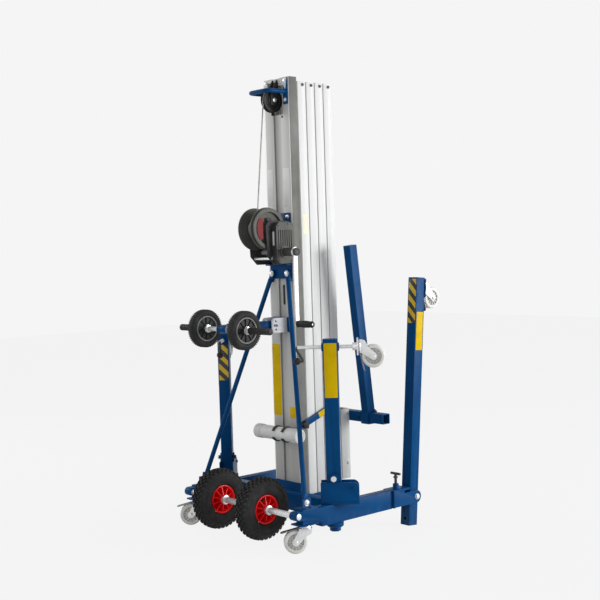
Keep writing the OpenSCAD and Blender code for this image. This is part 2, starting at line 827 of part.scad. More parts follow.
module crank_grip() {
  g = grip_d / 2;
  at = [crank_x + arm_t + side_gap, pinion_y, pinion_z - crank_r];
  color(black) hoist() translate(at) rotate([0, 90, 0]) difference() {
    rotate_extrude() polygon([[0, 0], [g - 3, 0], [g, 4], [g - 2.5, 16], [g - 1, 40], [g, 62],
      [g - 1, grip_l - 12], [g - 4, grip_l - 3], [g - 8, grip_l], [0, grip_l]]);
    translate([0, 0, -1]) cylinder(h = grip_l - 3, d = 12 + 2 * pin_clear);
  }
}

// Braces from the winch bracket to the beam tails

brace_flat_t = 10;
brace_flat_w = 32;
brace_in = 24;
brace_tab_x = 12;
brace_top = [50, -bracket_t - brace_flat_t / 2, frame_low - 40];
brace_low = [beam_x - brace_tab_x - brace_flat_t / 2, -beam_rear + 46, beam_top + plate_t + 18];
brace_dir = (brace_low - brace_top) / norm(brace_low - brace_top);
module braces() {
  color(blue) hoist() on_both_sides() {
    rod(brace_top + brace_in * brace_dir, brace_low - brace_in * brace_dir, brace_d);
    translate(brace_top) rotate([90, 0, 0]) brace_end(atan2(brace_dir[2], brace_dir[0]));
    translate(brace_low) rotate([90, 0, 90]) brace_end(atan2(-brace_dir[2], -brace_dir[1]));
  }
}

// The flattened end of a brace, from its bolt towards the rod
module brace_end(angle) {
  linear_extrude(brace_flat_t, center = true) {
    circle(d = brace_flat_w);
    rotate(angle) translate([0, -brace_flat_w * 0.36]) square([brace_in + 12, brace_flat_w * 0.72]);
  }
}

// Tip bracket: a mast plate, two drilled cheeks, the arm and the axle block
module tip_bracket() {
  cheek = tip_arm_s / 2 + 8;
  depth = 92;
  half_h = 32;
  color(blue) hoist() translate([0, 0, tip_z]) {
    block([-62, -6, -half_h], [62, 0, half_h]);
    on_both_sides() side_plate(cheek, cheek + 5) difference() {
      union() {
        translate([-depth + 16, -half_h]) square([depth - 16 - 6 + eps, 2 * half_h]);
        translate([-depth, -half_h + 16]) square([depth, 2 * half_h - 32]);
        for (z = [-1, 1]) translate([-depth + 16, z * (half_h - 16)]) circle(16);
      }
      for (p = [[-depth + 22, 18], [-depth + 14, 0], [-depth + 22, -18]]) translate(p) circle(d = 9);
    }
    difference() {
      translate([0, -6 + eps, 0]) rotate([90, 0, 0]) linear_extrude(tip_back - 6 - 26) difference() {
        rounded_square(tip_arm_s, tip_arm_s, 4);
        rounded_square(tip_arm_s - 7, tip_arm_s - 7, 2);
      }
    }
    difference() {
      union() {
        translate([0, -tip_back, 0]) x_rod(-30, 30, 36);
        block([-24, -tip_back, -18], [24, -tip_back + 28, 18]);
      }
      translate([0, -tip_back, 0]) x_rod(-40, 40, tip_axle_d + 2 * pin_clear);
    }
    translate([0, -70, 0]) x_rod(-cheek - 12, cheek + 12, 10);
  }
}

// Axles with their collars
module axles() {
  color(zinc) hoist() {
    translate([0, -axle_back, axle_z]) {
      x_rod(-beam_x - beam_w / 2, beam_x + beam_w / 2, axle_d);
      on_both_sides() for (s = [-1, 1])
        translate([wheel_x + s * (hub_l / 2 + side_gap + 5), 0, 0]) x_rod(-5, 5, axle_d + 14);
    }
    translate([0, -tip_back, tip_z]) {
      x_rod(-tip_axle_l / 2, tip_axle_l / 2, tip_axle_d);
      on_both_sides() for (s = [-1, 1])
        translate([tip_x + s * (tip_w / 2 + side_gap + tip_collar / 2), 0, 0])
        x_rod(-tip_collar / 2, tip_collar / 2, tip_axle_d + 12);
    }
  }
}

module hand_grips() {
  g = hand_d / 2;
  end = [tip_axle_l / 2 + grip_end, -tip_back, tip_z];
  color(black) hoist() on_both_sides() translate(end) rotate([0, -90, 0]) difference() {
    rotate_extrude() polygon(concat([[0, 0], [g - 3, 0], [g, 3], [g, 12]],
      [for (i = [0:7], p = [[g - 1.5, 14], [g - 1.5, 20], [g, 22], [g, 24]]) [p[0], p[1] + i * 12]],
      [[g, hand_l - 4], [g + 3, hand_l - 4], [g + 3, hand_l], [0, hand_l]]));
    translate([0, 0, grip_end]) cylinder(h = hand_l, d = tip_axle_d + 2 * pin_clear);
  }
}

// A tip wheel: solid rubber tyre on a hub with a raised ring
module tip_wheel() {
  r = tip_d / 2;
  w = tip_w / 2;
  color(black) translate([tip_x, -tip_back, tip_z]) rotate([0, 90, 0]) difference() {
    rotate_extrude() polygon([[0, -w], [18, -w], [20, -w + 6], [46, -w + 8], [48, -w + 3], [54, -w + 3],
      [57, -w + 8], [r - 12, -w + 2], [r - 4, -w + 7], [r, -w + 13], [r, w - 13], [r - 4, w - 7],
      [r - 12, w - 2], [57, w - 8], [54, w - 3], [48, w - 3], [46, w - 8], [20, w - 6], [18, w], [0, w]]);
    cylinder(h = tip_w + 2, d = tip_axle_d + 2 * pin_clear, center = true);
    for (a = [0:60:300]) rotate([0, 0, a]) translate([33, 0, 0]) cylinder(h = tip_w, d = 15, center = true);
  }
}

module tip_wheel_right() { hoist() tip_wheel(); }
module tip_wheel_left() { hoist() left() tip_wheel(); }

// Main wheels

rim_r = rim_d / 2;
module at_main_wheel() {
  translate([wheel_x, -axle_back, axle_z]) rotate([0, 90, 0]) children();
}

// A moulded rim: two flanges, a web with ribs on both faces and a hub tube
module rim() {
  well = rim_r - 12;
  seat = rim_r - 0.2;
  lip = rim_r + 6;
  half = 30;
  t = 4;
  rib_t = 5;
  rib_half = 13;
  color(red) at_main_wheel() difference() {
    union() {
      rotate_extrude() polygon([[well - t, -half + 8], [seat - t, -half], [lip, -half - 3], [lip, -half],
        [seat, -half + 4], [seat, -half + 8], [well, -half + 16], [well, half - 16], [seat, half - 8],
        [seat, half - 4], [lip, half], [lip, half + 3], [seat - t, half], [well - t, half - 8]]);
      cylinder(h = 6, r = well - 1, center = true);
      for (a = [0:45:315]) rotate([0, 0, a]) translate([20, -rib_t / 2, -rib_half])
        cube([well - 21, rib_t, 2 * rib_half]);
      cylinder(h = hub_l, r = 22, center = true);
    }
    cylinder(h = hub_l + 2, d = axle_d + 2 * pin_clear, center = true);
  }
}

// A pneumatic tyre: round casing, grooved tread and beads on the rim
module tyre() {
  r = tyre_d / 2;
  w = tyre_w / 2;
  b = rim_r;
  color(black) at_main_wheel() rotate_extrude() polygon([[b, -21], [b + 7, -25], [b + 7, -33.5],
    [b + 14, -36], [b + 26, -w + 0.5], [r - 30, -w], [r - 18, -w + 3], [r - 9, -w + 9], [r - 4, -w + 17],
    [r - 1, -17], [r - 6, -15], [r - 6, -12], [r - 0.5, -10], [r, -2], [r - 6, -1], [r - 6, 1], [r, 2],
    [r - 0.5, 10], [r - 6, 12], [r - 6, 15], [r - 1, 17], [r - 4, w - 17], [r - 9, w - 9], [r - 18, w - 3],
    [r - 30, w], [b + 26, w - 0.5], [b + 14, 36], [b + 7, 33.5], [b + 7, 25], [b, 21]]);
}

module rim_right() { hoist() rim(); }
module rim_left() { hoist() left() rim(); }
module tyre_right() { hoist() tyre(); }
module tyre_left() { hoist() left() tyre(); }

// Document tube

module document_tube() {
  color(white) hoist() translate([0, -doc_back, doc_z]) {
    difference() {
      x_rod(doc_left, doc_right, doc_d);
      x_rod(doc_left + 4, doc_right - 4, doc_d - 6);
    }
    for (x = [doc_left, doc_right - 34]) difference() {
      x_rod(x, x + 34, doc_d + 4);
      x_rod(x - 1, x + 35, doc_d);
    }
  }
}

module tube_clips() {
  clip_w = 14;
  inner = doc_d + 0.4;
  color(black) hoist() for (x = [8, 66]) translate([x, 0, doc_z]) difference() {
    union() {
      translate([0, -doc_back, 0]) x_rod(0, clip_w, inner + 10);
      block([0, -doc_back, -22], [clip_w, 0, 22]);
    }
    translate([0, -doc_back, 0]) x_rod(-1, clip_w + 1, inner);
    block([-1, -doc_back - doc_d, -14], [clip_w + 1, -doc_back, 14]);
  }
}

// Base

// A hollow beam with a raised tail, end plates, hinge cheeks, kingpin boss, castor plate and axle lug
module beam() {
  low = beam_top - beam_h;
  tail_low = beam_top - tail_h;
  tail_end = -beam_rear + tail_l;
  wall = beam_wall;
  inner = beam_w / 2 - wall;
  color(blue) difference() {
    union() {
      difference() {
        side_plate(-beam_w / 2, beam_w / 2) difference() {
          translate([-beam_rear, low]) square([beam_rear + beam_front, beam_h]);
          translate([-beam_rear - 1, low - 1]) square([tail_l + 1 - tail_r, tail_low - low + 1]);
          translate([-beam_rear - 1, low - 1]) square([tail_l + 1, tail_low - low + 1 - tail_r]);
          translate([tail_end - tail_r, tail_low - tail_r]) circle(tail_r);
        }
        block([-inner, -beam_rear + wall, tail_low + wall], [inner, beam_front + 1, beam_top - wall]);
        block([-inner, tail_end + wall, low + wall], [inner, beam_front + 1, beam_top - wall]);
      }
      translate([0, -king_back, low]) cylinder(h = beam_h, d = king_d + 10);
      translate([0, -king_back, low - boss_h + 6]) cylinder(h = boss_h - 6 + eps, d = boss_d);
      translate([0, -king_back, low - boss_h]) cylinder(h = 6 + eps, d1 = boss_d - 14, d2 = boss_d);
      block([-cheek_out, beam_front, low + 2], [cheek_out, beam_front + plate_t, cover_top]);
      block([-cheek_out, beam_front, cover_z], [cheek_out, leg_y - leg_back - 8, cover_top]);
      for (s = [0, 1]) mirror([s, 0, 0]) side_plate(cheek_in, cheek_out) {
        translate([beam_front, low + 4]) square([leg_y - beam_front, leg_z - low - 4 + 27]);
        translate([beam_front, low + 4]) square([plunger_back - 30, cover_top - low - 4]);
        translate([leg_y, leg_z]) circle(27);
      }
      translate([0, plunger_y, cover_top - eps]) cylinder(h = plunger_boss_h + eps, d = plunger_d + 14);
      translate([-33, castor_y - 46, tail_low - plate_t]) cube([66, 92, plate_t + eps]);
      translate([0, -axle_back, axle_z]) x_rod(-beam_w / 2, beam_w / 2, 36);
      block([-beam_w / 2, -axle_back, axle_z - 18], [beam_w / 2, eps - beam_rear, axle_z + 18]);
      block([-34, -beam_rear + 2, beam_top - eps], [beam_w / 2, -beam_rear + 84, beam_top + plate_t]);
      translate([-brace_tab_x, -beam_rear + 24, beam_top]) cube([plate_t, 44, 42]);
    }
    translate([0, -king_back, king_low - 1]) cylinder(h = beam_h + boss_h + 2, d = king_d + 2 * pin_clear);
    translate([0, -axle_back, axle_z]) x_rod(-beam_w, beam_w, axle_d + 2 * pin_clear);
    translate([0, leg_y, leg_z]) x_rod(-60, 60, leg_bolt_d + 2 * pin_clear);
    translate([0, plunger_y, cover_z - 1]) cylinder(h = 60, d = plunger_d + 2 * pin_clear);
    translate([0, castor_y, tail_low - plate_t - 1]) cylinder(h = plate_t + 1, d = stud_d + 2 * pin_clear);
  }
}

module beam_right() { hoist() translate([beam_x, 0, 0]) beam(); }
module beam_left() { hoist() left() translate([beam_x, 0, 0]) beam(); }

// Crossmember: a tube between the beams, the mast's back plate and its floor plate on two ribs
module crossmember() {
  half = beam_x - beam_w / 2;
  low = beam_top - beam_h;
  rear = -bracket_t - cross_d;
  foot_w = mast_w / 2 + 6;
  foot_front = carriage_y - mast_gap;
  back_h = 34;
  back_high = beam_top + back_h;
  under = foot_z - foot_t;
  color(blue) hoist() {
    difference() {
      block([-half, rear, low + 2], [half, -bracket_t, beam_top]);
      block([-half - 1, rear + 4, low + 6], [half + 1, -bracket_t - 4, beam_top - 4]);
    }
    block([-foot_w, -bracket_t - eps, low + 2], [foot_w, 0, back_high]);
    block([-foot_w, -eps, foot_z - foot_t], [foot_w, foot_front, foot_z]);
    on_both_sides() side_plate(foot_w - 8, foot_w - 2) polygon([[-eps, low + 6], [-eps, under + eps],
      [foot_front - 20, under + eps], [foot_front - 20, under - 10]]);
  }
}

// Legs

module leg() {
  color(blue) at_leg() difference() {
    union() {
      difference() {
        translate([-leg_s / 2, -leg_back, -leg_tail]) cube([leg_s, leg_s, leg_l + leg_tail]);
        translate([-leg_s / 2 + leg_wall, -leg_back + leg_wall, -leg_tail + leg_wall])
          cube([leg_s - 2 * leg_wall, leg_s - 2 * leg_wall, leg_l + leg_tail - 2 * leg_wall]);
      }
      x_rod(-leg_s / 2, leg_s / 2, leg_bolt_d + 8);
      translate([-30, leg_front - eps, leg_castor_s - 40]) cube([60, leg_plate_t + eps, 80]);
    }
    x_rod(-leg_s, leg_s, leg_bolt_d + 2 * pin_clear);
    translate([0, 0, -plunger_back]) y_rod(-leg_back - 1, -leg_back + leg_wall + 30, plunger_d + 1);
    translate([0, 0, leg_castor_s]) y_rod(leg_front, leg_front + leg_plate_t + 1, stud_d + 2 * pin_clear);
  }
}

module leg_right() { hoist() leg(); }
module leg_left() { hoist() left() leg(); }

// A plunger with its T handle, drawn up
module leg_plunger() {
  handle_z = cover_top + plunger_boss_h + plunger_h;
  color(zinc) translate([beam_x, plunger_y, 0]) {
    translate([0, 0, plunger_tip]) cylinder(h = handle_z - plunger_tip, d = plunger_d);
    translate([0, 0, handle_z]) x_rod(-26, 26, plunger_d - 1);
    translate([0, 0, cover_top + plunger_boss_h + plunger_travel + 2]) cylinder(h = 5, d = plunger_d + 8);
  }
}

module leg_plunger_right() { hoist() leg_plunger(); }
module leg_plunger_left() { hoist() left() leg_plunger(); }

// Stabilisers

// Bracket on its kingpin: base plate, two cheeks with a rounded corner, hinge pin and stop pin
module stab_bracket() {
  base = stab_base_z - stab_z;
  top = stab_cheek_top - stab_z;
  r = 24;
  king_l = stab_base_z - king_low + nut_t + 4;
  color(blue) at_stabiliser() {
    translate([stab_in, -stab_base_w / 2, base]) cube([stab_out - stab_in, stab_base_w, stab_base_t]);
    for (s = [0, 1]) mirror([0, s, 0]) translate([0, stab_cheek_out, 0]) rotate([90, 0, 0])
      linear_extrude(plate_t) {
      translate([stab_in, base]) square([stab_out - stab_in - r, top - base]);
      translate([stab_in, base]) square([stab_out - stab_in, top - base - r]);
      translate([stab_out - r, top - r]) circle(r);
      circle(20);
    }
    y_rod(-stab_cheek_out - 8, stab_cheek_out + 8, stab_pin_d);
    translate([stop_x, 0, stop_z - stab_z]) y_rod(-stab_cheek_out - 5, stab_cheek_out + 5, stop_d);
    translate([0, 0, base - king_l]) cylinder(h = king_l + eps, d = king_d);
    translate([0, 0, base - king_l]) cylinder(h = nut_t + 4 - side_gap - side_gap, d = king_d + 16, $fn = 6);
  }
}

module stab_bracket_right() { hoist() stab_bracket(); }
module stab_bracket_left() { hoist() left() stab_bracket(); }

// Stabiliser tube with its hinge bush and the jack's nut
module stab_arm() {
  nut_d = spindle_d + 18;
  color(blue) at_stabiliser() difference() {
    union() {
      difference() {
        translate([0, 0, -stab_tail]) linear_extrude(stab_tail + stab_l) rounded_square(stab_d, stab_w, 4);
        translate([0, 0, -stab_tail + stab_wall]) linear_extrude(stab_tail + stab_l - 2 * stab_wall)
          rounded_square(stab_d - 2 * stab_wall, stab_w - 2 * stab_wall, 1.5);
      }
      y_rod(-stab_w / 2, stab_w / 2, stab_pin_d + 8);
      translate([0, 0, jack_up]) x_rod(-stab_d / 2 - 6, stab_d / 2 + 6, nut_d);
    }
    y_rod(-stab_w, stab_w, stab_pin_d + 2 * pin_clear);
    translate([0, 0, jack_up]) x_rod(-stab_d, stab_d, spindle_d + 2 * pin_clear);
  }
}

module stab_arm_right() { hoist() stab_arm(); }
module stab_arm_left() { hoist() left() stab_arm(); }

module jack_head() {
  color(zinc) at_stabiliser() translate([0, 0, jack_up]) difference() {
    union() {
      translate([jack_out - jack_plate_t, 0, 0]) rotate([0, 90, 0]) linear_extrude(jack_plate_t)
        rounded_square(jack_plate_s, jack_plate_s, 8);
      x_rod(jack_out - jack_plate_t - collar_l, jack_out - jack_plate_t + eps, spindle_d + 16);
    }
    x_rod(0, jack_out - jack_plate_t, spindle_d + 2 * pin_clear);
    x_rod(0, jack_out + 1, stud_d + 2 * pin_clear);
  }
}

module jack_head_right() { hoist() jack_head(); }
module jack_head_left() { hoist() left() jack_head(); }

// Jack spindle with its crank, forged at the elbow, and the ball knob on the crank's pin
module jack_spindle() {
  elbow = [-crank_out, 0, 0];
  hand = [-crank_out + 22, 0, -jack_crank_l];
  rod_d = 11;
  color(zinc) at_stabiliser() translate([0, 0, jack_up]) {
    x_rod(-crank_out, jack_out - jack_plate_t - side_gap, spindle_d);
    translate(elbow) rotate([90, 0, 0]) cylinder(h = spindle_d + 4, d = spindle_d + 8, center = true);
    rod(elbow, hand, rod_d);
    translate(hand) {
      rotate([90, 0, 0]) cylinder(h = rod_d + 4, d = rod_d + 6, center = true);
      x_rod(-12, 0, rod_d);
      translate([-12, 0, 0]) rotate([0, -90, 0]) ball_knob();
    }
  }
}

// A moulded ball with a flat seat, turned about Z
module ball_knob() {
  seat = -50;
  r = ball_d / 2;
  rotate_extrude() polygon(concat([[0, 0]], [for (a = [seat:20:70]) [r * cos(a), r * (sin(a) - sin(seat))]],
    [[0, r * (1 - sin(seat))]]));
}

module jack_spindle_right() { hoist() jack_spindle(); }
module jack_spindle_left() { hoist() left() jack_spindle(); }

// Castors: swivel axis on Z, the floor at zero, the wheel trailing along +X

module castor_fork(h, seat_t) {
  gap = castor_w / 2 + 2;
  axle_h = castor_d / 2;
  pedal_w = 28;
  pedal_t = 3;
  pedal_l = 87;
  pedal_in = 36.5;
  pedal_lean = 14;
  pedal_gap = 1;
  color(zinc) {
    translate([0, 0, crown_z]) cylinder(h = crown_t, d = head_d);
    translate([0, 0, crown_z + eps]) cylinder(h = h - side_gap - crown_z - eps, d = head_d - 8);
    translate([0, 0, crown_z]) cylinder(h = h - crown_z + seat_t - side_gap, d = stud_d);
    for (s = [0, 1]) mirror([0, s, 0]) translate([0, gap + fork_leg_t, 0]) rotate([90, 0, 0])
      linear_extrude(fork_leg_t) {
      polygon([[-24, crown_z + crown_t], [24, crown_z + crown_t], [castor_trail + 12, axle_h + 6],
        [castor_trail + 8, axle_h - 10], [castor_trail - 12, axle_h - 6], [-20, crown_z - 14]]);
      translate([castor_trail, axle_h]) circle(14);
    }
    translate([-18, -gap - fork_leg_t, crown_z]) cube([42, 2 * (gap + fork_leg_t), crown_t]);
    translate([castor_trail, 0, axle_h]) y_rod(-gap - fork_leg_t - 4, gap + fork_leg_t + 4, castor_pin_d);
    translate([castor_trail, 0, axle_h]) rotate([0, pedal_lean, 0])
      translate([-pedal_in, -pedal_w / 2, axle_h + pedal_gap]) cube([pedal_l, pedal_w, pedal_t]);
  }
}

module castor_wheel() {
  r = castor_d / 2;
  w = castor_w / 2;
  hub = castor_w / 2 + 2 - side_gap;
  color(white) translate([castor_trail, 0, r]) rotate([90, 0, 0]) difference() {
    rotate_extrude() polygon([[0, -hub], [14, -hub], [16, -w + 3], [r - 14, -w + 3], [r - 11, -w],
      [r - 4, -w], [r, -w + 4], [r, w - 4], [r - 4, w], [r - 11, w], [r - 14, w - 3], [16, w - 3], [14, hub],
      [0, hub]]);
    cylinder(h = 2 * hub + 2, d = castor_pin_d + 2 * pin_clear, center = true);
  }
}

module rear_castor_right() { hoist() under_beam() castor_fork(rear_castor_h, plate_t); }
module rear_castor_left() { hoist() under_left_beam() castor_fork(rear_castor_h, plate_t); }
module rear_castor_wheel_right() { hoist() under_beam() castor_wheel(); }
module rear_castor_wheel_left() { hoist() under_left_beam() castor_wheel(); }
module leg_castor_right() { hoist() under_leg() castor_fork(leg_castor_h, leg_plate_t); }
module leg_castor_left() { hoist() left() under_leg() castor_fork(leg_castor_h, leg_plate_t); }
module leg_castor_wheel_right() { hoist() under_leg() castor_wheel(); }
module leg_castor_wheel_left() { hoist() left() under_leg() castor_wheel(); }
module jack_castor_right() { hoist() under_jack() castor_fork(castor_h, jack_plate_t); }
module jack_castor_left() { hoist() left() under_jack() castor_fork(castor_h, jack_plate_t); }
module jack_castor_wheel_right() { hoist() under_jack() castor_wheel(); }
module jack_castor_wheel_left() { hoist() left() under_jack() castor_wheel(); }

// Hinge bolts, the lock's and the sheave's pins, and the bolts of the plates
module fasteners() {
  color(zinc) hoist() {
    on_both_sides() {
      translate([beam_x, leg_y, leg_z]) {
        x_rod(-cheek_out - 8, cheek_out, leg_bolt_d);
        translate([cheek_out, 0, 0]) hex_head(22, 9);
        translate([-cheek_out - 9, 0, 0]) hex_head(22, 9);
      }
      translate([bow_x, -bow_plate_t, bow_z - 34]) rotate([0, 0, -90]) hex_head(13, 5);
      translate([bow_x, -bow_plate_t, mast_top - 14]) rotate([0, 0, -90]) hex_head(13, 5);
      translate([beam_x - brace_tab_x + plate_t, brace_low[1], brace_low[2]]) hex_head(17, 6);
      translate(brace_top) translate([0, -brace_flat_t / 2, 0]) rotate([0, 0, -90]) hex_head(17, 6);
      translate([56, -6, tip_z]) rotate([0, 0, -90]) hex_head(13, 6);
      for (z = [frame_low + 20, frame_high - 34])
        translate([34, frame_back, z]) rotate([0, 0, -90]) hex_head(13, 5);
    }
    translate([0, -sheave_back, sheave_z]) {
      x_rod(-cheek_x - cheek_t - 1, cheek_x + cheek_t + 1, sheave_pin_d);
      for (s = [0, 1]) mirror([s, 0, 0]) translate([cheek_x + cheek_t, 0, 0]) hex_head(20, 6);
    }
    translate([0, lock_y, lock_z]) x_rod(mast_w / 2, lock_x + lock_t + 9.5, lock_pin_d);
    translate([56, -bracket_t, frame_high + 18]) rotate([0, 0, -90]) hex_head(15, 6);
  }
}

beam_left();
beam_right();
crossmember();
mast_section_1();
mast_section_2();
mast_section_3();
mast_section_4();
mast_section_5();
carriage();
crossbar();
fork_left();
fork_right();
transport_lock();
top_sheave();
guard_bow();
lift_cable();
winch_bracket();
winch_frame();
gear_cover();
winch_drum();
drum_winding();
winch_crank();
crank_grip();
braces();
tip_bracket();
axles();
hand_grips();
tip_wheel_left();
tip_wheel_right();
rim_left();
rim_right();
tyre_left();
tyre_right();
document_tube();
tube_clips();
leg_left();
leg_right();
leg_plunger_left();
leg_plunger_right();
stab_bracket_left();
stab_bracket_right();
stab_arm_left();
stab_arm_right();
jack_head_left();
jack_head_right();
jack_spindle_left();
jack_spindle_right();
rear_castor_left();
rear_castor_right();
rear_castor_wheel_left();
rear_castor_wheel_right();
leg_castor_left();
leg_castor_right();
leg_castor_wheel_left();
leg_castor_wheel_right();
jack_castor_left();
jack_castor_right();
jack_castor_wheel_left();
jack_castor_wheel_right();
fasteners();
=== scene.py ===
# %% [markdown]
# A material hoist, dressed for its picture.
# The hoist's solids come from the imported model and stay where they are. This notebook lights them,
# paints them and adds the pieces that a maker would finish by hand: treaded tyres, a laid steel
# cable, bolts with washers, weld beads and bare plates. Every length is in metres.

# %% The frame and the tools
import json
import math

import bmesh
import bpy
from mathutils import Matrix, Vector

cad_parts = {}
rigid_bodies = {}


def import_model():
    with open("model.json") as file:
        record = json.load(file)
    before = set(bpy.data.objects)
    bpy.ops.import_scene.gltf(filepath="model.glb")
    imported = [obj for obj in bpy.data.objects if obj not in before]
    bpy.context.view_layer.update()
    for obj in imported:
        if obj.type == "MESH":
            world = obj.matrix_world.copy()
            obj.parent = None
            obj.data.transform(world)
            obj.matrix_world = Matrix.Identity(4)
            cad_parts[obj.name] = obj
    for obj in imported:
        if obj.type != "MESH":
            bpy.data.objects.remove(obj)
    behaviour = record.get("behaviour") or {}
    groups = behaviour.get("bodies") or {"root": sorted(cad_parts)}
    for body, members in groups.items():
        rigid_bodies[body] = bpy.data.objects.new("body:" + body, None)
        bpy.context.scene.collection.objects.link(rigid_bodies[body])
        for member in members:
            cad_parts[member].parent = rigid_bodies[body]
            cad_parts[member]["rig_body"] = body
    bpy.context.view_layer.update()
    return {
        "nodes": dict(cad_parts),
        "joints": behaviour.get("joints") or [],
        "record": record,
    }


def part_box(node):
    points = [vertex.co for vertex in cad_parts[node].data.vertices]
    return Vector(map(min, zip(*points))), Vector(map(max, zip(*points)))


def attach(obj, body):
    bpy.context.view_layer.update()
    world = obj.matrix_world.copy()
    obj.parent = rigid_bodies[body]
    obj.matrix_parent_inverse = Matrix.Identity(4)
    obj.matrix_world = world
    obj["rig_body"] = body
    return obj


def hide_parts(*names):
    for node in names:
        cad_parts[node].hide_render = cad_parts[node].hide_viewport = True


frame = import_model()
NODES = frame["nodes"]
JOINTS = {joint["name"]: joint for joint in frame["joints"]}
SLOT = {part["node"]: part["material_slot"] for part in frame["record"]["subparts"]}
SIDES = (("left", -1), ("right", 1))
RIGHTWARD, REARWARD, UPWARD = (1, 0, 0), (0, -1, 0), (0, 0, 1)


def joint_at(name):
    """Where a joint's axis stands at rest."""
    return Vector(JOINTS[name]["pos_m"])


def framed(origin, x, y, z):
    """A frame at `origin` with the three given directions."""
    return Matrix.Translation(origin) @ Matrix((x, y, z)).transposed().to_4x4()


print("nodes:", len(NODES), "joints:", len(JOINTS))

# %% [markdown]
# The camera stands to the hoist's right and behind it, level with the winch, and leans slightly, as the
# picture does. Its place was found by matching the wheels, the beam and the mast's edges, so it is
# written as a place, three angles and a focal length for a square picture.

# %% The camera
PICTURE = 600
MAST_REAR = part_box("mast_section_1")[0].y
CAMERA_PLACE = Vector((3.6572, MAST_REAR - 3.141, 1.2091))
AZIMUTH, PITCH, ROLL = (math.radians(a) for a in (48.453, 2.572, -1.744))
FOCAL_PIXELS = 1116.04
SENSOR = 36.0


def camera_axes(azimuth, pitch, roll):
    """The camera's right, up and forward directions."""
    level_share = math.cos(pitch)
    forward = Vector((-math.sin(azimuth) * level_share, math.cos(azimuth) * level_share, -math.sin(pitch)))
    level = Vector((math.cos(azimuth), math.sin(azimuth), 0))
    upright = level.cross(forward)
    right = math.cos(roll) * level + math.sin(roll) * upright
    return right, right.cross(forward), forward


right, up, forward = camera_axes(AZIMUTH, PITCH, ROLL)
camera = bpy.data.objects.new("camera", bpy.data.cameras.new("camera"))
camera.data.sensor_fit = "HORIZONTAL"
camera.data.sensor_width = SENSOR
camera.data.lens = FOCAL_PIXELS * SENSOR / PICTURE
camera.matrix_world = framed(CAMERA_PLACE, right, up, -forward)
bpy.context.scene.collection.objects.link(camera)
bpy.context.scene.camera = camera
print("camera:", [round(c, 3) for c in CAMERA_PLACE], "lens", round(camera.data.lens, 2))

# %% [markdown]
# The studio is a pale seamless floor under a white sky. A large soft lamp on the hoist's right lights
# the sides of the mast hard, as in the picture, and the rear faces keep a middle grey. The sky and the
# floor show the camera, and metal that mirrors them, a flat pale grey, but light the hoist at an
# ordinary level.

# %% The studio
PALE = 0.913
SKY_COLOUR, SKY_LIGHT = (0.96, 0.98, 1.0, 1), 0.54
FLOOR_GREY, FLOOR_SHOWN, FLOOR_REACH = 0.8, 0.95, 12
scene = bpy.context.scene
scene.view_settings.view_transform = "Standard"


def link(tree, source, target):
    tree.links.new(source, target)


def opaque(grey):
    return grey, grey, grey, 1


def seen_directly(tree):
    """A number that is 1 for rays from the camera, straight or by way of metal and glass."""
    path = tree.nodes.new("ShaderNodeLightPath")
    total = path.outputs["Is Camera Ray"]
    for way in ("Is Glossy Ray", "Is Transmission Ray"):
        both = tree.nodes.new("ShaderNodeMath")
        both.operation = "ADD"
        both.use_clamp = True
        link(tree, total, both.inputs[0])
        link(tree, path.outputs[way], both.inputs[1])
        total = both.outputs[0]
    return total


def end_studio(tree, kind, lit, shown, share):
    """Ends a tree that lights with one shader and shows the camera `share` of another."""
    part = tree.nodes.new("ShaderNodeMath")
    part.operation = "MULTIPLY"
    part.inputs[1].default_value = share
    mix = tree.nodes.new("ShaderNodeMixShader")
    link(tree, seen_directly(tree), part.inputs[0])
    link(tree, part.outputs[0], mix.inputs[0])
    link(tree, lit.outputs[0], mix.inputs[1])
    link(tree, shown.outputs[0], mix.inputs[2])
    link(tree, mix.outputs[0], tree.nodes.new(kind).inputs[0])


def make_sky():
    world = bpy.data.worlds.new("studio_sky")
    world.use_nodes = True
    tree = world.node_tree
    tree.nodes.clear()
    lit = tree.nodes.new("ShaderNodeBackground")
    lit.inputs["Color"].default_value = SKY_COLOUR
    lit.inputs["Strength"].default_value = SKY_LIGHT
    shown = tree.nodes.new("ShaderNodeBackground")
    shown.inputs["Color"].default_value = opaque(PALE)
    end_studio(tree, "ShaderNodeOutputWorld", lit, shown, 1.0)
    scene.world = world


def make_floor_paint():
    material = bpy.data.materials.new("studio_floor")
    material.use_nodes = True
    tree = material.node_tree
    tree.nodes.clear()
    lit = tree.nodes.new("ShaderNodeBsdfDiffuse")
    lit.inputs["Color"].default_value = opaque(FLOOR_GREY)
    shown = tree.nodes.new("ShaderNodeEmission")
    shown.inputs["Color"].default_value = opaque(PALE)
    end_studio(tree, "ShaderNodeOutputMaterial", lit, shown, FLOOR_SHOWN)
    return material


def area_lamp(name, place, target, size, watts):
    data = bpy.data.lights.new(name, "AREA")
    data.shape = "RECTANGLE"
    data.size, data.size_y = size
    data.energy = watts
    lamp = bpy.data.objects.new(name, data)
    aim = (Vector(target) - Vector(place)).to_track_quat("-Z", "Y")
    lamp.matrix_world = Matrix.Translation(place) @ aim.to_matrix().to_4x4()
    scene.collection.objects.link(lamp)


make_sky()
area_lamp("key_right", (5.2, 3.5, 1.7), (0, 0.1, 0.9), (2.6, 2.6), 385)
area_lamp("fill_rear", (0.6, -4.8, 2.2), (0, 0, 0.9), (3.0, 2.4), 40)
area_lamp("rim_left", (-3.8, -1.6, 2.4), (0, 0, 1.0), (1.6, 2.2), 60)

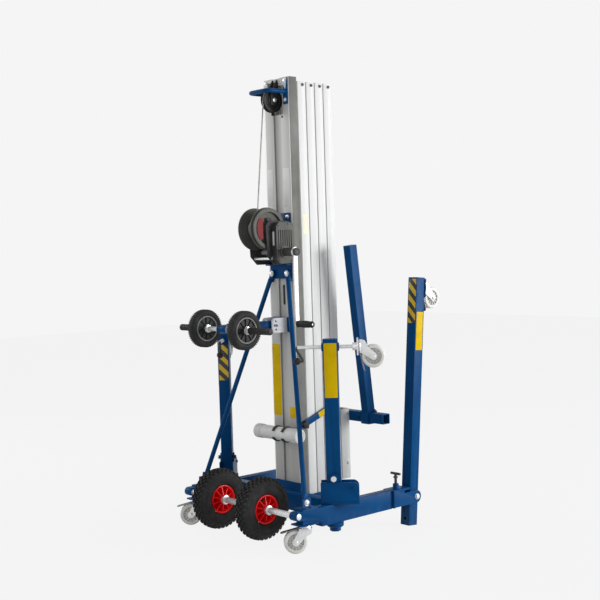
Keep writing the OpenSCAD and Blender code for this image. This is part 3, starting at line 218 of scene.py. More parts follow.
corners = [(x * FLOOR_REACH, y * FLOOR_REACH, 0) for x, y in ((-1, -1), (1, -1), (1, 1), (-1, 1))]
floor_mesh = bpy.data.meshes.new("studio_floor")
floor_mesh.from_pydata(corners, [], [(0, 1, 2, 3)])
floor_mesh.materials.append(make_floor_paint())
floor = bpy.data.objects.new("studio_floor", floor_mesh)
scene.collection.objects.link(floor)
print("studio: sky, three lamps and a floor of", 2 * FLOOR_REACH, "m")

# %% [markdown]
# Every finish below starts from the same few blocks: a Principled shader, a noise on Object coordinates
# and a ramp that turns the noise into colour or roughness. Object coordinates are metres here, because
# every piece keeps its place in its mesh, so a noise scale of 400 makes grains of about 2.5 mm.

# %% Blocks for the finishes


class Finish:
    """A material under construction: adds nodes and links them."""

    def __init__(self, name):
        self.material = bpy.data.materials.new(name)
        self.material.use_nodes = True
        self.tree = self.material.node_tree
        self.shader = self.tree.nodes["Principled BSDF"]
        self.place = self.tree.nodes.new("ShaderNodeTexCoord").outputs["Object"]

    def set(self, **values):
        for socket, value in values.items():
            self.shader.inputs[socket.replace("_", " ")].default_value = value
        return self

    def feed(self, target, value):
        """Links a socket to another node's output, or sets it to a number or a colour."""
        if hasattr(value, "is_output"):
            link(self.tree, value, target)
        elif target.type == "RGBA":
            target.default_value = (*value, 1)
        else:
            target.default_value = value

    def node(self, kind, **inputs):
        made = self.tree.nodes.new(kind)
        for socket, value in inputs.items():
            self.feed(made.inputs[socket], value)
        return made

    def stretched(self, scale):
        """Object coordinates scaled by three numbers, for streaks."""
        mapping = self.node("ShaderNodeMapping", Vector=self.place, Scale=scale)
        return mapping.outputs["Vector"]

    def noise(self, scale, detail=3.0, roughness=0.55, vector=None):
        made = self.node("ShaderNodeTexNoise", Vector=vector or self.place, Scale=scale, Detail=detail,
                         Roughness=roughness)
        return made.outputs["Fac"]

    def ramp(self, factor, stops):
        made = self.node("ShaderNodeValToRGB", Fac=factor)
        points = made.color_ramp.elements
        while len(points) < len(stops):
            points.new(0.5)
        for point, (position, value) in zip(points, stops):
            point.position = position
            point.color = (*value, 1)
        return made.outputs["Color"]

    def grey_ramp(self, factor, low, high, start=0.3, end=0.7):
        return self.ramp(factor, ((start, (low,) * 3), (end, (high,) * 3)))

    def mix(self, factor, a, b):
        made = self.tree.nodes.new("ShaderNodeMix")
        made.data_type = "RGBA"
        for socket, value in ((0, factor), (6, a), (7, b)):
            self.feed(made.inputs[socket], value)
        return made.outputs[2]

    def math(self, operation, a, b=0.0, clamp=False):
        made = self.tree.nodes.new("ShaderNodeMath")
        made.operation = operation
        made.use_clamp = clamp
        for target, value in zip(made.inputs, (a, b)):
            self.feed(target, value)
        return made.outputs[0]

    def axis(self, name):
        return self.node("ShaderNodeSeparateXYZ", Vector=self.place).outputs[name]

    def colour(self, source):
        link(self.tree, source, self.shader.inputs["Base Color"])
        return self

    def rough(self, source):
        link(self.tree, source, self.shader.inputs["Roughness"])
        return self

    def bump(self, height, depth, strength=1.0):
        made = self.node("ShaderNodeBump", Height=height, Distance=depth, Strength=strength)
        link(self.tree, made.outputs["Normal"], self.shader.inputs["Normal"])
        return self


print("finish blocks ready")

# %% [markdown]
# The steel frame wears a satin blue powder coat. Up close such a coat has an orange-peel skin, small
# shifts in depth of colour and a little dust low down, so all three are here: a fine bump, a broad
# noise between two blues, and a grey veil that fades out a hand's width above the floor.

# %% Blue powder coat
DUST_TOP, DUST_SHARE = 0.16, 1.1


def blue_powder_coat():
    made = Finish("blue_powder_coat").set(Metallic=0.0, Specular_IOR_Level=0.055)
    depth = made.noise(9.0, 4.0)
    blues = made.ramp(depth, ((0.3, (0.0004, 0.040, 0.132)), (0.7, (0.0008, 0.050, 0.160))))
    specks = made.grey_ramp(made.noise(160.0, 2.0), 0.0, 0.10, 0.62, 0.78)
    scuffed = made.mix(specks, blues, (0.02, 0.07, 0.18))
    low = made.math("MULTIPLY", made.math("SUBTRACT", DUST_TOP, made.axis("Z"), clamp=True), DUST_SHARE)
    dust = made.math("MULTIPLY", low, made.grey_ramp(made.noise(26.0, 5.0), 0.0, 1.0, 0.42, 0.8))
    made.colour(made.mix(dust, scuffed, (0.22, 0.22, 0.21)))
    made.rough(made.grey_ramp(made.noise(60.0, 3.0), 0.30, 0.42))
    return made.bump(made.noise(520.0, 2.0), 0.00025, 0.5).material


# %% [markdown]
# The mast is extruded aluminium as it leaves the press: a dull silver with die lines that run the
# whole length of the profile. A noise squeezed across and stretched along the mast gives the lines,
# and a slow one adds the cloudy patches that handling leaves. The fixed section is duller than the ones
# that slide in it. Its two flanks are painted darker, as painted shade, and a painted highlight runs as a
# bright line along their edges.

# %% Extruded aluminium
# Painted highlight and painted shade on the fixed section: where the bright edge line and the darker flanks
# start, out from the mast's middle, and the colour of the painted highlight.
HIGHLIGHT_LINE_START, FLANK_SHADE_START = 0.0775, 0.0813
PAINTED_EDGE_HIGHLIGHT = (0.80, 0.80, 0.79)


def extruded_aluminium(name, dark, light, metal, flank_shade=None):
    """Silver with die lines along Z. `flank_shade` is the painted shade of the fixed section's flanks, which
    also brings a painted highlight along their edges.
    """
    made = Finish(name).set(Metallic=metal, Specular_IOR_Level=0.14)
    lines = made.noise(1.0, 4.0, 0.6, made.stretched((420.0, 420.0, 1.6)))
    cloud = made.noise(5.0, 4.0)
    silver = made.mix(made.grey_ramp(lines, 0.0, 1.0, 0.25, 0.75), dark, light)
    silver = made.mix(made.grey_ramp(cloud, 0.0, 0.4), silver, dark)
    if flank_shade:
        # Painted highlight: a bright silver line near each edge of the rear face. Painted shade: each flank
        # darker, mottled by the cloud noise.
        offset = made.math("ABSOLUTE", made.axis("X"))
        silver = made.mix(made.math("GREATER_THAN", offset, HIGHLIGHT_LINE_START), silver, PAINTED_EDGE_HIGHLIGHT)
        outer = made.math("GREATER_THAN", offset, FLANK_SHADE_START)
        silver = made.mix(made.math("MULTIPLY", outer, made.grey_ramp(cloud, 1.0, 0.88)), silver, flank_shade)
    made.colour(silver)
    made.rough(made.grey_ramp(lines, 0.54, 0.68))
    return made.bump(lines, 0.00018, 0.35).material


# %% [markdown]
# Bolts, axles, spindles and castor forks are zinc plated: bright, slightly blue-grey and faintly
# mottled. The castor wheels are off-white nylon, the document tube is pale plastic and the rims are red
# moulded plastic. The winch wears black and grey paint, and every grip is grained black plastic.

# %% Metal and plastic finishes


def zinc_plate():
    made = Finish("zinc_plate").set(Metallic=0.6)
    mottle = made.noise(70.0, 4.0)
    made.colour(made.ramp(mottle, ((0.3, (0.60, 0.61, 0.62)), (0.7, (0.74, 0.745, 0.74)))))
    made.rough(made.grey_ramp(made.noise(240.0, 3.0), 0.24, 0.38))
    return made.bump(mottle, 0.0001, 0.3).material


def grained(name, dark, light, roughness, grain=900.0, depth=0.0002, shine=0.16):
    """A moulded or sprayed finish between two close colours, with a fine grain."""
    made = Finish(name).set(Specular_IOR_Level=shine)
    made.colour(made.ramp(made.noise(22.0, 4.0), ((0.3, dark), (0.7, light))))
    made.rough(made.grey_ramp(made.noise(120.0, 3.0), roughness - 0.05, roughness + 0.06))
    return made.bump(made.noise(grain, 2.0), depth, 0.5).material


def tyre_rubber():
    made = Finish("tyre_rubber").set(Specular_IOR_Level=0.20)
    dust = made.grey_ramp(made.noise(34.0, 5.0), 0.0, 0.5, 0.45, 0.8)
    made.colour(made.mix(dust, (0.016, 0.016, 0.016), (0.045, 0.044, 0.041)))
    made.rough(made.grey_ramp(made.noise(90.0, 3.0), 0.66, 0.82))
    return made.bump(made.noise(700.0, 2.0), 0.0002, 0.6).material


BLUE = blue_powder_coat()
ALUMINIUM = extruded_aluminium("extruded_aluminium", (0.56, 0.56, 0.555), (0.63, 0.63, 0.62), 0.06)
# The darker flank colour given here is painted shade.
DULL_ALUMINIUM = extruded_aluminium("dull_aluminium", (0.42, 0.42, 0.405), (0.50, 0.50, 0.485), 0.3,
                                    flank_shade=(0.088, 0.088, 0.080))
ZINC = zinc_plate()
BLACK_PAINT = grained("black_paint", (0.022, 0.022, 0.023), (0.034, 0.034, 0.034), 0.42, 700.0)
GEAR_GREY = grained("gear_cover_grey", (0.072, 0.072, 0.066), (0.096, 0.095, 0.088), 0.5, 500.0, 0.0003)
DRUM_GREY = grained("drum_grey", (0.070, 0.069, 0.062), (0.095, 0.094, 0.084), 0.5, 400.0, 0.0002)
BLACK_PLASTIC = grained("grip_plastic", (0.014, 0.014, 0.014), (0.024, 0.024, 0.024), 0.5)
DARK_STEEL = grained("dark_steel", (0.040, 0.040, 0.038), (0.062, 0.061, 0.058), 0.4, 600.0, 0.0001)
RUBBER = tyre_rubber()
RED_PLASTIC = grained("rim_red", (0.64, 0.007, 0.009), (0.78, 0.011, 0.014), 0.34, 420.0, 0.0001)
NYLON = grained("castor_nylon", (0.56, 0.55, 0.52), (0.66, 0.65, 0.62), 0.42, 380.0, 0.0001)
TUBE_GREY = grained("tube_plastic", (0.50, 0.50, 0.49), (0.58, 0.58, 0.57), 0.4, 500.0, 0.0001)
PLATE_YELLOW = grained("plate_yellow", (0.50, 0.33, 0.0005), (0.58, 0.385, 0.001), 0.38, 300.0, 0.00005, 0.05)
PLATE_PALE = grained("plate_pale", (0.52, 0.52, 0.51), (0.60, 0.60, 0.59), 0.4, 300.0, 0.00005)
PLATE_CREAM = grained("plate_cream", (0.62, 0.60, 0.46), (0.70, 0.68, 0.54), 0.4, 300.0, 0.00005)
BARE_PLATE = grained("bare_plate", (0.40, 0.41, 0.43), (0.46, 0.47, 0.49), 0.45, 400.0, 0.0001)
RING_GREY = grained("ring_grey", (0.13, 0.13, 0.13), (0.18, 0.18, 0.18), 0.4, 400.0, 0.0001)
PLATE_RED = grained("plate_red", (0.16, 0.022, 0.025), (0.20, 0.030, 0.033), 0.45, 300.0, 0.00005, 0.04)

SLOT_FINISH = {
    "blue_paint": BLUE, "aluminium": ALUMINIUM, "zinc": ZINC, "black_paint": BLACK_PAINT,
    "black_plastic": BLACK_PLASTIC, "solid_rubber": RUBBER, "tyre": RUBBER, "red_paint": RED_PLASTIC,
    "nylon": NYLON,
}
NODE_FINISH = {
    "gear_cover": GEAR_GREY, "winch_drum": DRUM_GREY, "document_tube": TUBE_GREY,
    "mast_section_1": DULL_ALUMINIUM, "leg_plunger_left": DARK_STEEL, "leg_plunger_right": DARK_STEEL,
}
for name, obj in NODES.items():
    obj.data.materials.clear()
    obj.data.materials.append(NODE_FINISH.get(name) or SLOT_FINISH[SLOT[name]])
print("finishes:", len(bpy.data.materials))

# %% [markdown]
# New pieces are built from a few closed shells: turned forms, blocks, plates cut from a drawn outline
# and rods. A small class collects the shells of one piece and remembers which finish each one wears,
# so a wheel with a rubber tyre and a zinc hub is still one mesh that rides on one body.

# %% Shells for new pieces


def along(origin, axis, side=(0, 0, 1)):
    """A frame whose Z runs along `axis` and whose X leans towards `side`."""
    z = Vector(axis).normalized()
    side = Vector(side) if abs(Vector(side).normalized().dot(z)) < 0.99 else Vector((1, 0, 0))
    x = (side - side.dot(z) * z).normalized()
    return framed(origin, x, z.cross(x), z)


def shade(mesh, smooth):
    """Smooth faces, broken at edges sharper than `smooth` degrees."""
    mesh.shade_smooth()
    mesh.set_sharp_from_angle(angle=math.radians(smooth))


def both_sides(half_outline):
    """A closed (radius, along) outline, from the half of it on the positive side."""
    return [(radius, -x) for radius, x in half_outline] + half_outline[::-1]


class Shape:
    """A mesh under construction, made of closed shells."""

    def __init__(self):
        self.bm = bmesh.new()

    def shell(self, points, faces, place=Matrix.Identity(4), finish=0):
        made = [self.bm.verts.new(place @ Vector(p)) for p in points]
        for corners in faces:
            self.bm.faces.new([made[i] for i in corners]).material_index = finish
        return self

    def lathe(self, profile, place, finish=0, steps=48):
        """Turns (radius, along) points about the frame's Z. The outline closes on itself or on the axis."""
        rings, points = [], []
        for radius, height in profile:
            count = 1 if radius == 0 else steps
            rings.append([len(points) + k for k in range(count)])
            for k in range(count):
                angle = 2 * math.pi * k / steps
                points.append((radius * math.cos(angle), radius * math.sin(angle), height))
        closed = profile[0][0] > 0
        pairs = list(zip(rings, rings[1:])) + ([(rings[-1], rings[0])] if closed else [])
        faces = []
        for low, high in pairs:
            for k in range(steps):
                j = k + 1
                corners = [low[k % len(low)], low[j % len(low)], high[j % len(high)], high[k % len(high)]]
                faces.append(list(dict.fromkeys(corners)))
        return self.shell(points, faces, place, finish)

    def rod(self, radius, low, high, place, finish=0, steps=24):
        """A plain round bar or disc about the frame's Z."""
        return self.lathe([(0, low), (radius, low), (radius, high), (0, high)], place, finish, steps)

    def prism(self, outline, low, high, place, finish=0):
        """A plate with a drawn outline in the frame's XY, from `low` to `high` along Z."""
        n = len(outline)
        points = [(x, y, z) for z in (low, high) for x, y in outline]
        walls = [(k, (k + 1) % n, n + (k + 1) % n, n + k) for k in range(n)]
        return self.shell(points, [range(n - 1, -1, -1), range(n, 2 * n)] + walls, place, finish)

    def block(self, low, high, finish=0, place=Matrix.Identity(4)):
        outline = [(low[0], low[1]), (high[0], low[1]), (high[0], high[1]), (low[0], high[1])]
        return self.prism(outline, low[2], high[2], place, finish)

    def tube(self, path, radius, finish=0, sides=12):
        """A round bar along a path, with flat ends."""
        path = [Vector(p) for p in path]
        points = []
        turn = None
        for k, p in enumerate(path):
            ahead = (path[min(k + 1, len(path) - 1)] - path[max(k - 1, 0)]).normalized()
            if turn is None:
                turn = along((0, 0, 0), ahead).to_3x3()
            else:
                turn = turn.col[2].rotation_difference(ahead).to_matrix() @ turn
            for j in range(sides):
                angle = 2 * math.pi * j / sides
                points.append(p + turn @ Vector((radius * math.cos(angle), radius * math.sin(angle), 0)))
        last = (len(path) - 1) * sides
        faces = [range(sides - 1, -1, -1), range(last, last + sides)]
        for k in range(len(path) - 1):
            for j in range(sides):
                a, b = k * sides + j, k * sides + (j + 1) % sides
                faces.append((a, b, b + sides, a + sides))
        return self.shell(points, faces, Matrix.Identity(4), finish)

    def mesh(self, name, bevel=0.0, smooth=40):
        """The finished mesh: outward faces, small bevels on the sharp edges, smooth elsewhere."""
        bmesh.ops.recalc_face_normals(self.bm, faces=self.bm.faces)
        if bevel:
            limit = math.radians(smooth)
            sharp = [e for e in self.bm.edges if len(e.link_faces) == 2 and e.calc_face_angle() > limit]
            bmesh.ops.bevel(self.bm, geom=sharp, offset=bevel, segments=2, profile=0.5, affect="EDGES",
                            clamp_overlap=True)
        made = bpy.data.meshes.new(name)
        self.bm.to_mesh(made)
        self.bm.free()
        shade(made, smooth)
        return made


def piece(name, mesh, body, finishes, replaces=()):
    """Hangs a finished mesh on a body, dressed in its finishes, in place of the named solids."""
    obj = bpy.data.objects.new(name, mesh)
    scene.collection.objects.link(obj)
    if not mesh.materials:
        for material in finishes:
            mesh.materials.append(material)
    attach(obj, body)
    if replaces:
        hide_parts(*replaces)


def centre(node):
    low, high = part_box(node)
    return (low + high) / 2


def wheel_box(node):
    """The centre, radius and half width of a round solid whose axle runs along X."""
    low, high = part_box(node)
    return (low + high) / 2, (high.z - low.z) / 2, (high.x - low.x) / 2


print("shells ready")

# %% [markdown]
# Folded sheet, drawn tube and castings have no knife edges. Each welded or cast solid is copied, its
# facets are merged back into whole faces, and every sharp edge gets a small round, which catches the
# lamp as a thin line. The copy stands for the solid and rides on the same body.

# %% Softened copies of the solids
MERGE_DISTANCE, FLAT_ANGLE, SHARP_DEGREES = 2e-5, math.radians(0.5), 32


def softened(node, radius, *rules):
    """A copy of a solid with rounded edges, which takes the solid's place. Each rule is a finish and a
    test of a face's middle and normal, and the faces that pass it wear that finish."""
    shape = Shape()
    shape.bm.from_mesh(NODES[node].data)
    bmesh.ops.remove_doubles(shape.bm, verts=shape.bm.verts, dist=MERGE_DISTANCE)
    bmesh.ops.dissolve_limit(shape.bm, angle_limit=FLAT_ANGLE, verts=shape.bm.verts, edges=shape.bm.edges)
    mesh = shape.mesh(node + "_soft", radius, SHARP_DEGREES)
    finishes = [NODES[node].data.materials[0]]
    for index, (finish, holds) in enumerate(rules, 1):
        finishes.append(finish)
        for face in mesh.polygons:
            if holds(face.center, face.normal):
                face.material_index = index
    piece(node + "_soft", mesh, NODES[node]["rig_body"], finishes, (node,))


SOFT_PAIRS = {
    0.0012: ("beam", "leg", "stab_bracket", "stab_arm", "jack_head", "fork"),
    0.0008: ("leg_plunger",),
}
SOFT_SINGLES = {
    0.0018: ("mast_section_1",),
    0.0012: ("crossmember", "carriage", "crossbar", "winch_bracket", "braces"),
    0.0008: ("winch_frame", "transport_lock", "tube_clips"),
}
soft = []
for radius, names in SOFT_PAIRS.items():
    soft += [(f"{name}_{side}", radius) for name in names for side, _ in SIDES]
for radius, names in SOFT_SINGLES.items():
    soft += [(name, radius) for name in names]
for name, radius in soft:
    softened(name, radius)
print("softened solids:", len(soft))

# %% [markdown]
# Some solids carry more than one finish. The lifting sections have dark bolts at their heads, the plate
# under the guard bow is bare metal between its blue ends and holds the sheave in black cheeks, and the
# cheeks of the tip bracket are bare plates with three holes. Each rule below says where the other finish
# starts.

# %% Solids with several finishes
SECTION_FACE = 0.0823
BOW_PLATE_HALF, BOW_CHEEK_HALF, BOW_PLATE_REAR, BOW_CHEEK_REAR = 0.0475, 0.030, -0.1045, -0.158
TIP_CHEEK_IN, TIP_CHEEK_OUT, TIP_CHEEK_FRONT = 0.0275, 0.0335, -0.1048


def on_bow_plate(at, out):
    return abs(at.x) < BOW_PLATE_HALF and at.y > BOW_PLATE_REAR


def on_bow_cheeks(at, out):
    return abs(at.x) < BOW_CHEEK_HALF and BOW_CHEEK_REAR < at.y < BOW_PLATE_REAR


def on_tip_cheeks(at, out):
    return TIP_CHEEK_IN < abs(at.x) < TIP_CHEEK_OUT and at.y < TIP_CHEEK_FRONT


for k in range(2, 6):
    softened(f"mast_section_{k}", 0.0006, (DARK_STEEL, lambda at, out: abs(at.x) > SECTION_FACE))
softened("guard_bow", 0.0012, (DULL_ALUMINIUM, on_bow_plate), (BLACK_PAINT, on_bow_cheeks))
softened("tip_bracket", 0.0012, (BARE_PLATE, on_tip_cheeks))
print("solids with several finishes: 6")

# %% [markdown]
# Whatever repeats or follows a path is made with Geometry Nodes: tread blocks round a tyre, strands
# along a cable, beads along a weld, bolts on a plate. A second small class builds such a tree with
# named inputs, and `grow` runs it on a sketch (points, or points joined by edges) and keeps the result
# as a plain mesh.

# %% Blocks for Geometry Nodes


class Tree:
    """A Geometry Nodes tree under construction, with named inputs."""

    def __init__(self, name, **inputs):
        self.group = bpy.data.node_groups.new(name, "GeometryNodeTree")
        self.group.is_modifier = True
        sockets = self.group.interface
        sockets.new_socket("Geometry", in_out="INPUT", socket_type="NodeSocketGeometry")
        self.keys = {}
        for label, value in inputs.items():
            kind = "NodeSocketInt" if isinstance(value, int) else "NodeSocketFloat"
            made = sockets.new_socket(label, in_out="INPUT", socket_type=kind)
            made.default_value = value
            self.keys[label] = made.identifier
        sockets.new_socket("Geometry", in_out="OUTPUT", socket_type="NodeSocketGeometry")
        self.given = self.group.nodes.new("NodeGroupInput").outputs
        self.result = self.group.nodes.new("NodeGroupOutput").inputs["Geometry"]

    def node(self, kind, output=0, settings=None, **inputs):
        """Adds a node, sets or links its inputs and returns one of its outputs."""
        made = self.group.nodes.new(kind)
        for key, value in (settings or {}).items():
            setattr(made, key, value)
        for label, value in inputs.items():
            place = int(label[1:]) if label[1:].isdigit() else label.replace("_", " ")
            target = made.inputs[place]
            for source in value if isinstance(value, list) else [value]:
                if hasattr(source, "is_output"):
                    self.group.links.new(source, target)
                else:
                    target.default_value = source
        return made.outputs[output]

    def math(self, operation, a, b=0.0):
        return self.node("ShaderNodeMath", settings={"operation": operation}, i0=a, i1=b)

    def vector(self, x=0.0, y=0.0, z=0.0):
        return self.node("ShaderNodeCombineXYZ", X=x, Y=y, Z=z)

    def end(self, geometry, material):
        real = self.node("GeometryNodeRealizeInstances", Geometry=geometry)
        dressed = self.node("GeometryNodeSetMaterial", Geometry=real, Material=material)
        self.group.links.new(dressed, self.result)
        return self


def sketch(name, points, edges=(), **vectors):
    """A mesh of points and edges, with named vectors on its points."""
    made = bpy.data.meshes.new(name)
    made.from_pydata([tuple(p) for p in points], [tuple(e) for e in edges], [])
    for label, values in vectors.items():
        field = made.attributes.new(label, "FLOAT_VECTOR", "POINT")
        field.data.foreach_set("vector", [c for v in values for c in v])
    return made


def path_sketch(name, *paths):
    """A sketch of one or more open paths."""
    points, edges = [], []
    for path in paths:
        start = len(points)
        points += list(path)
        edges += [(k, k + 1) for k in range(start, len(points) - 1)]
    return sketch(name, points, edges)


def grow(tree, name, base, smooth=40, **inputs):
    """Runs a tree on a sketch and returns the plain mesh that it makes."""
    obj = bpy.data.objects.new(name, base)
    scene.collection.objects.link(obj)
    modifier = obj.modifiers.new("grow", "NODES")
    modifier.node_group = tree.group
    for label, value in inputs.items():
        modifier[tree.keys[label]] = value
    shown = obj.evaluated_get(bpy.context.evaluated_depsgraph_get())
    made = bpy.data.meshes.new_from_object(shown)
    obj.modifiers.remove(modifier)
    bpy.data.objects.remove(obj)
    bm = bmesh.new()
    bm.from_mesh(made)
    bmesh.ops.recalc_face_normals(bm, faces=bm.faces)
    bm.to_mesh(made)
    bm.free()
    shade(made, smooth)
    made.name = name
    return made


print("node blocks ready")

# %% [markdown]
# The two site wheels carry pneumatic tyres with a block tread. The casing is turned from one outline,
# a squared oval between the rim's bead and the root of the tread. One pitch of the tread, six small
# blocks that step round the oval, is drawn once and repeated by nodes, which is how the mould is cut.

# %% Tyres


def round_tree(name, material):
    """Repeats a small shape about the X axis and moves the result to a wheel's centre."""
    tree = Tree(name, Count=12, Centre_X=0.0, Centre_Y=0.0, Centre_Z=0.0)
    line = tree.node("GeometryNodeMeshLine", Count=tree.given["Count"], Offset=(0.0, 0.0, 0.0))
    step = tree.math("DIVIDE", 2 * math.pi, tree.given["Count"])
    angle = tree.math("MULTIPLY", tree.node("GeometryNodeInputIndex"), step)
    spin = tree.node("FunctionNodeEulerToRotation", Euler=tree.vector(x=angle))
    placed = tree.node("GeometryNodeInstanceOnPoints", Points=line, Instance=tree.given["Geometry"],
                       Rotation=spin)
    move = tree.vector(tree.given["Centre_X"], tree.given["Centre_Y"], tree.given["Centre_Z"])
    return tree.end(tree.node("GeometryNodeTransform", Geometry=placed, Translation=move), material)


def repeat_round(tree, name, shape, count, middle):
    """`shape`, drawn about the X axis, repeated `count` times about the axle through `middle`."""
    one = shape.mesh(name + "_one")
    return grow(tree, name, one, 30, Count=count, Centre_X=middle.x, Centre_Y=middle.y, Centre_Z=middle.z)


def face_blocks(inner, outer, half_width, low, high):
    """A block on each face of a wheel, between two places along X and two radii."""
    shape = Shape()
    for face in (-1, 1):
        start, end = sorted((face * inner, face * outer))
        shape.block((start, -half_width, low), (end, half_width, high))
    return shape


class Oval:
    """A tyre's section: a squared oval between two radii, `half` wide to each side."""

    def __init__(self, low, high, half, power):
        self.middle, self.rise, self.half, self.power = (low + high) / 2, (high - low) / 2, half, power

    def radius(self, x):
        return self.middle + self.rise * (1 - abs(x / self.half) ** self.power) ** (1 / self.power)

    def outline(self, start, end, step):
        points = []
        for angle in range(start, end + 1, step):
            c, s = math.cos(math.radians(angle)), math.sin(math.radians(angle))
            x = math.copysign(abs(c) ** (2 / self.power), c) * self.half
            points.append((self.middle + math.copysign(abs(s) ** (2 / self.power), s) * self.rise, x))
        return points


BLOCK_FACES = [(3, 2, 1, 0), (4, 5, 6, 7), (0, 1, 5, 4), (1, 2, 6, 5), (2, 3, 7, 6), (3, 0, 4, 7)]
LUG_SINK, LUG_TAPER = -0.003, 0.86


def lug(shape, oval, x0, x1, angle, length, skew, height):
    """One tread block on the oval between two places across it, leaning round the tyre by `skew`."""
    corners = []
    middle = (x0 + x1) / 2
    for lift, shrink in ((LUG_SINK, 1.0), (height, LUG_TAPER)):
        for x, side, lean in ((x0, -1, 0), (x1, -1, skew), (x1, 1, skew), (x0, 1, 0)):
            radius = oval.radius(x) + lift
            a = angle + lean + side * shrink * length / 2
            corners.append((middle + (x - middle) * shrink, radius * math.sin(a), radius * math.cos(a)))
    shape.shell(corners, BLOCK_FACES)


PITCHES, LUG_LENGTH, LUG_SKEW = 34, 0.56, 0.18
RIM_RADIUS, BEAD_SINK, TREAD_DEPTH, WALL_ROOM, SQUARENESS = 0.059, 0.004, 0.0065, 0.0015, 2.3
WALL_RINGS, RING_WIDTH, RING_SUNK, RING_PROUD = (0.004, 0.010), 0.0024, 0.0026, 0.0002
CASING_STEPS = 96
# Each row of blocks: its start and end across the tyre, its place in the pitch and its height.
LUG_ROWS = (
    (0.0010, 0.0092, 0.25, 0.0062),
    (0.0116, 0.0200, 0.75, 0.0062),
    (0.0222, 0.0310, 0.25, 0.0058),
)
ROUND_RUBBER = round_tree("round_rubber", RUBBER)
for side, _ in SIDES:
    hub, outer, half = wheel_box(f"tyre_{side}")
    oval = Oval(RIM_RADIUS - BEAD_SINK, outer - TREAD_DEPTH, half - WALL_ROOM, SQUARENESS)
    axle = along(hub, RIGHTWARD)
    casing = Shape()
    casing.lathe(oval.outline(-50, 230, 10), axle, steps=CASING_STEPS)
    for face in (-1, 1):
        x = face * oval.half
        sunk, proud = x - face * RING_SUNK, x - face * RING_PROUD
        for step in WALL_RINGS:
            ring = oval.middle + step
            ridge = [(ring, sunk), (ring + RING_WIDTH / 2, proud), (ring + RING_WIDTH, sunk)]
            casing.lathe(ridge, axle, steps=CASING_STEPS)
    pitch = 2 * math.pi / PITCHES
    block = Shape()
    for face in (-1, 1):
        for start, end, phase, height in LUG_ROWS:
            angle = (phase if face > 0 else phase + 0.5) * pitch
            skew = face * LUG_SKEW * pitch
            lug(block, oval, face * start, face * end, angle, LUG_LENGTH * pitch, skew, height)
    tread = repeat_round(ROUND_RUBBER, f"tread_{side}", block, PITCHES, hub)
    made = casing.mesh(f"tyre_{side}_casing", smooth=50)
    piece(f"tyre_{side}_casing", made, f"wheel_{side}", [RUBBER], (f"tyre_{side}",))
    piece(f"tyre_{side}_tread", tread, f"wheel_{side}", [RUBBER], ())
    print("tyre", side, "faces:", len(made.polygons) + len(tread.polygons))

# %% [markdown]
# The load hangs on a laid steel cable: six strands twisted about a core. It leaves the drum at the
# rear, climbs to the sheave at the mast's head, turns over it and runs down inside the mast. The path
# is worked out from the drum and the sheave. Nodes sweep a six-lobed outline along it and turn the
# outline as it goes, so the lobes become the strands' lay.

# %% Laid cable
CABLE, CABLE_ROOM = 0.006, 0.0003


def strand_tree(name, material):
    """Sweeps a lobed outline along the sketch's paths, turning once in each lay."""
    tree = Tree(name, Radius=0.003, Lobe=0.1, Lobes=6, Lay=0.045, Step=0.0025, Sides=18)
    curve = tree.node("GeometryNodeMeshToCurve", Mesh=tree.given["Geometry"])
    curve = tree.node("GeometryNodeResampleCurve", settings={"mode": "LENGTH"}, Curve=curve,
                      Length=tree.given["Step"])
    length = tree.node("GeometryNodeSplineParameter", output=1)
    turns = tree.math("DIVIDE", length, tree.given["Lay"])
    tilt = tree.math("MULTIPLY", turns, 2 * math.pi)
    curve = tree.node("GeometryNodeSetCurveTilt", Curve=curve, Tilt=tilt)
    outline = tree.node("GeometryNodeCurvePrimitiveCircle", Resolution=tree.given["Sides"],
                        Radius=tree.given["Radius"])
    angle = tree.math("MULTIPLY", tree.node("GeometryNodeSplineParameter", output=0), 2 * math.pi)
    wave = tree.math("COSINE", tree.math("MULTIPLY", angle, tree.given["Lobes"]))
    scale = tree.math("ADD", 1.0, tree.math("MULTIPLY", tree.math("SUBTRACT", wave, 1.0), tree.given["Lobe"]))
    place = tree.node("GeometryNodeInputPosition")
    grown = tree.node("ShaderNodeVectorMath", settings={"operation": "SCALE"}, Vector=place, Scale=scale)
    outline = tree.node("GeometryNodeSetPosition", Geometry=outline, Position=grown)
    swept = tree.node("GeometryNodeCurveToMesh", Curve=curve, Profile_Curve=outline, Fill_Caps=True)
    return tree.end(swept, material)


def cable_steel():
    made = Finish("cable_steel").set(Metallic=0.85)
    grease = made.grey_ramp(made.noise(45.0, 4.0), 0.0, 1.0, 0.4, 0.7)
    made.colour(made.mix(grease, (0.24, 0.24, 0.23), (0.11, 0.108, 0.10)))
    made.rough(made.grey_ramp(made.noise(300.0, 3.0), 0.34, 0.5))
    return made.bump(made.noise(900.0, 2.0), 0.0001, 0.4).material


CABLE_STEEL = cable_steel()
STRANDS = strand_tree("strands", CABLE_STEEL)


def arc(middle, radius, start, end, steps=40):
    """Points on a circle in the plane across X, from the rear (0) over the top (90 degrees)."""
    turns = [math.radians(start + (end - start) * k / steps) for k in range(steps + 1)]
    return [middle + Vector((0, -radius * math.cos(t), radius * math.sin(t))) for t in turns]


low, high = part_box("lift_cable")
wheel = centre("top_sheave")
drum = centre("drum_winding")
wheel_radius = high.z - CABLE / 2 - wheel.z
leave = Vector((high.x - CABLE / 2 - CABLE_ROOM, drum.y, drum.z))
leave_radius = drum.y - low.y - CABLE / 2 - CABLE_ROOM
lift_path = arc(leave, leave_radius, -150, 0) + arc(wheel, wheel_radius, 0, 180)
lift_path.append(Vector((0, wheel.y + wheel_radius, low.z)))
lift = grow(STRANDS, "lift_cable_laid", path_sketch("lift_path", lift_path), 60)
piece("lift_cable_laid", lift, "base", [CABLE_STEEL], ("lift_cable",))
print("lift cable faces:", len(lift.polygons))

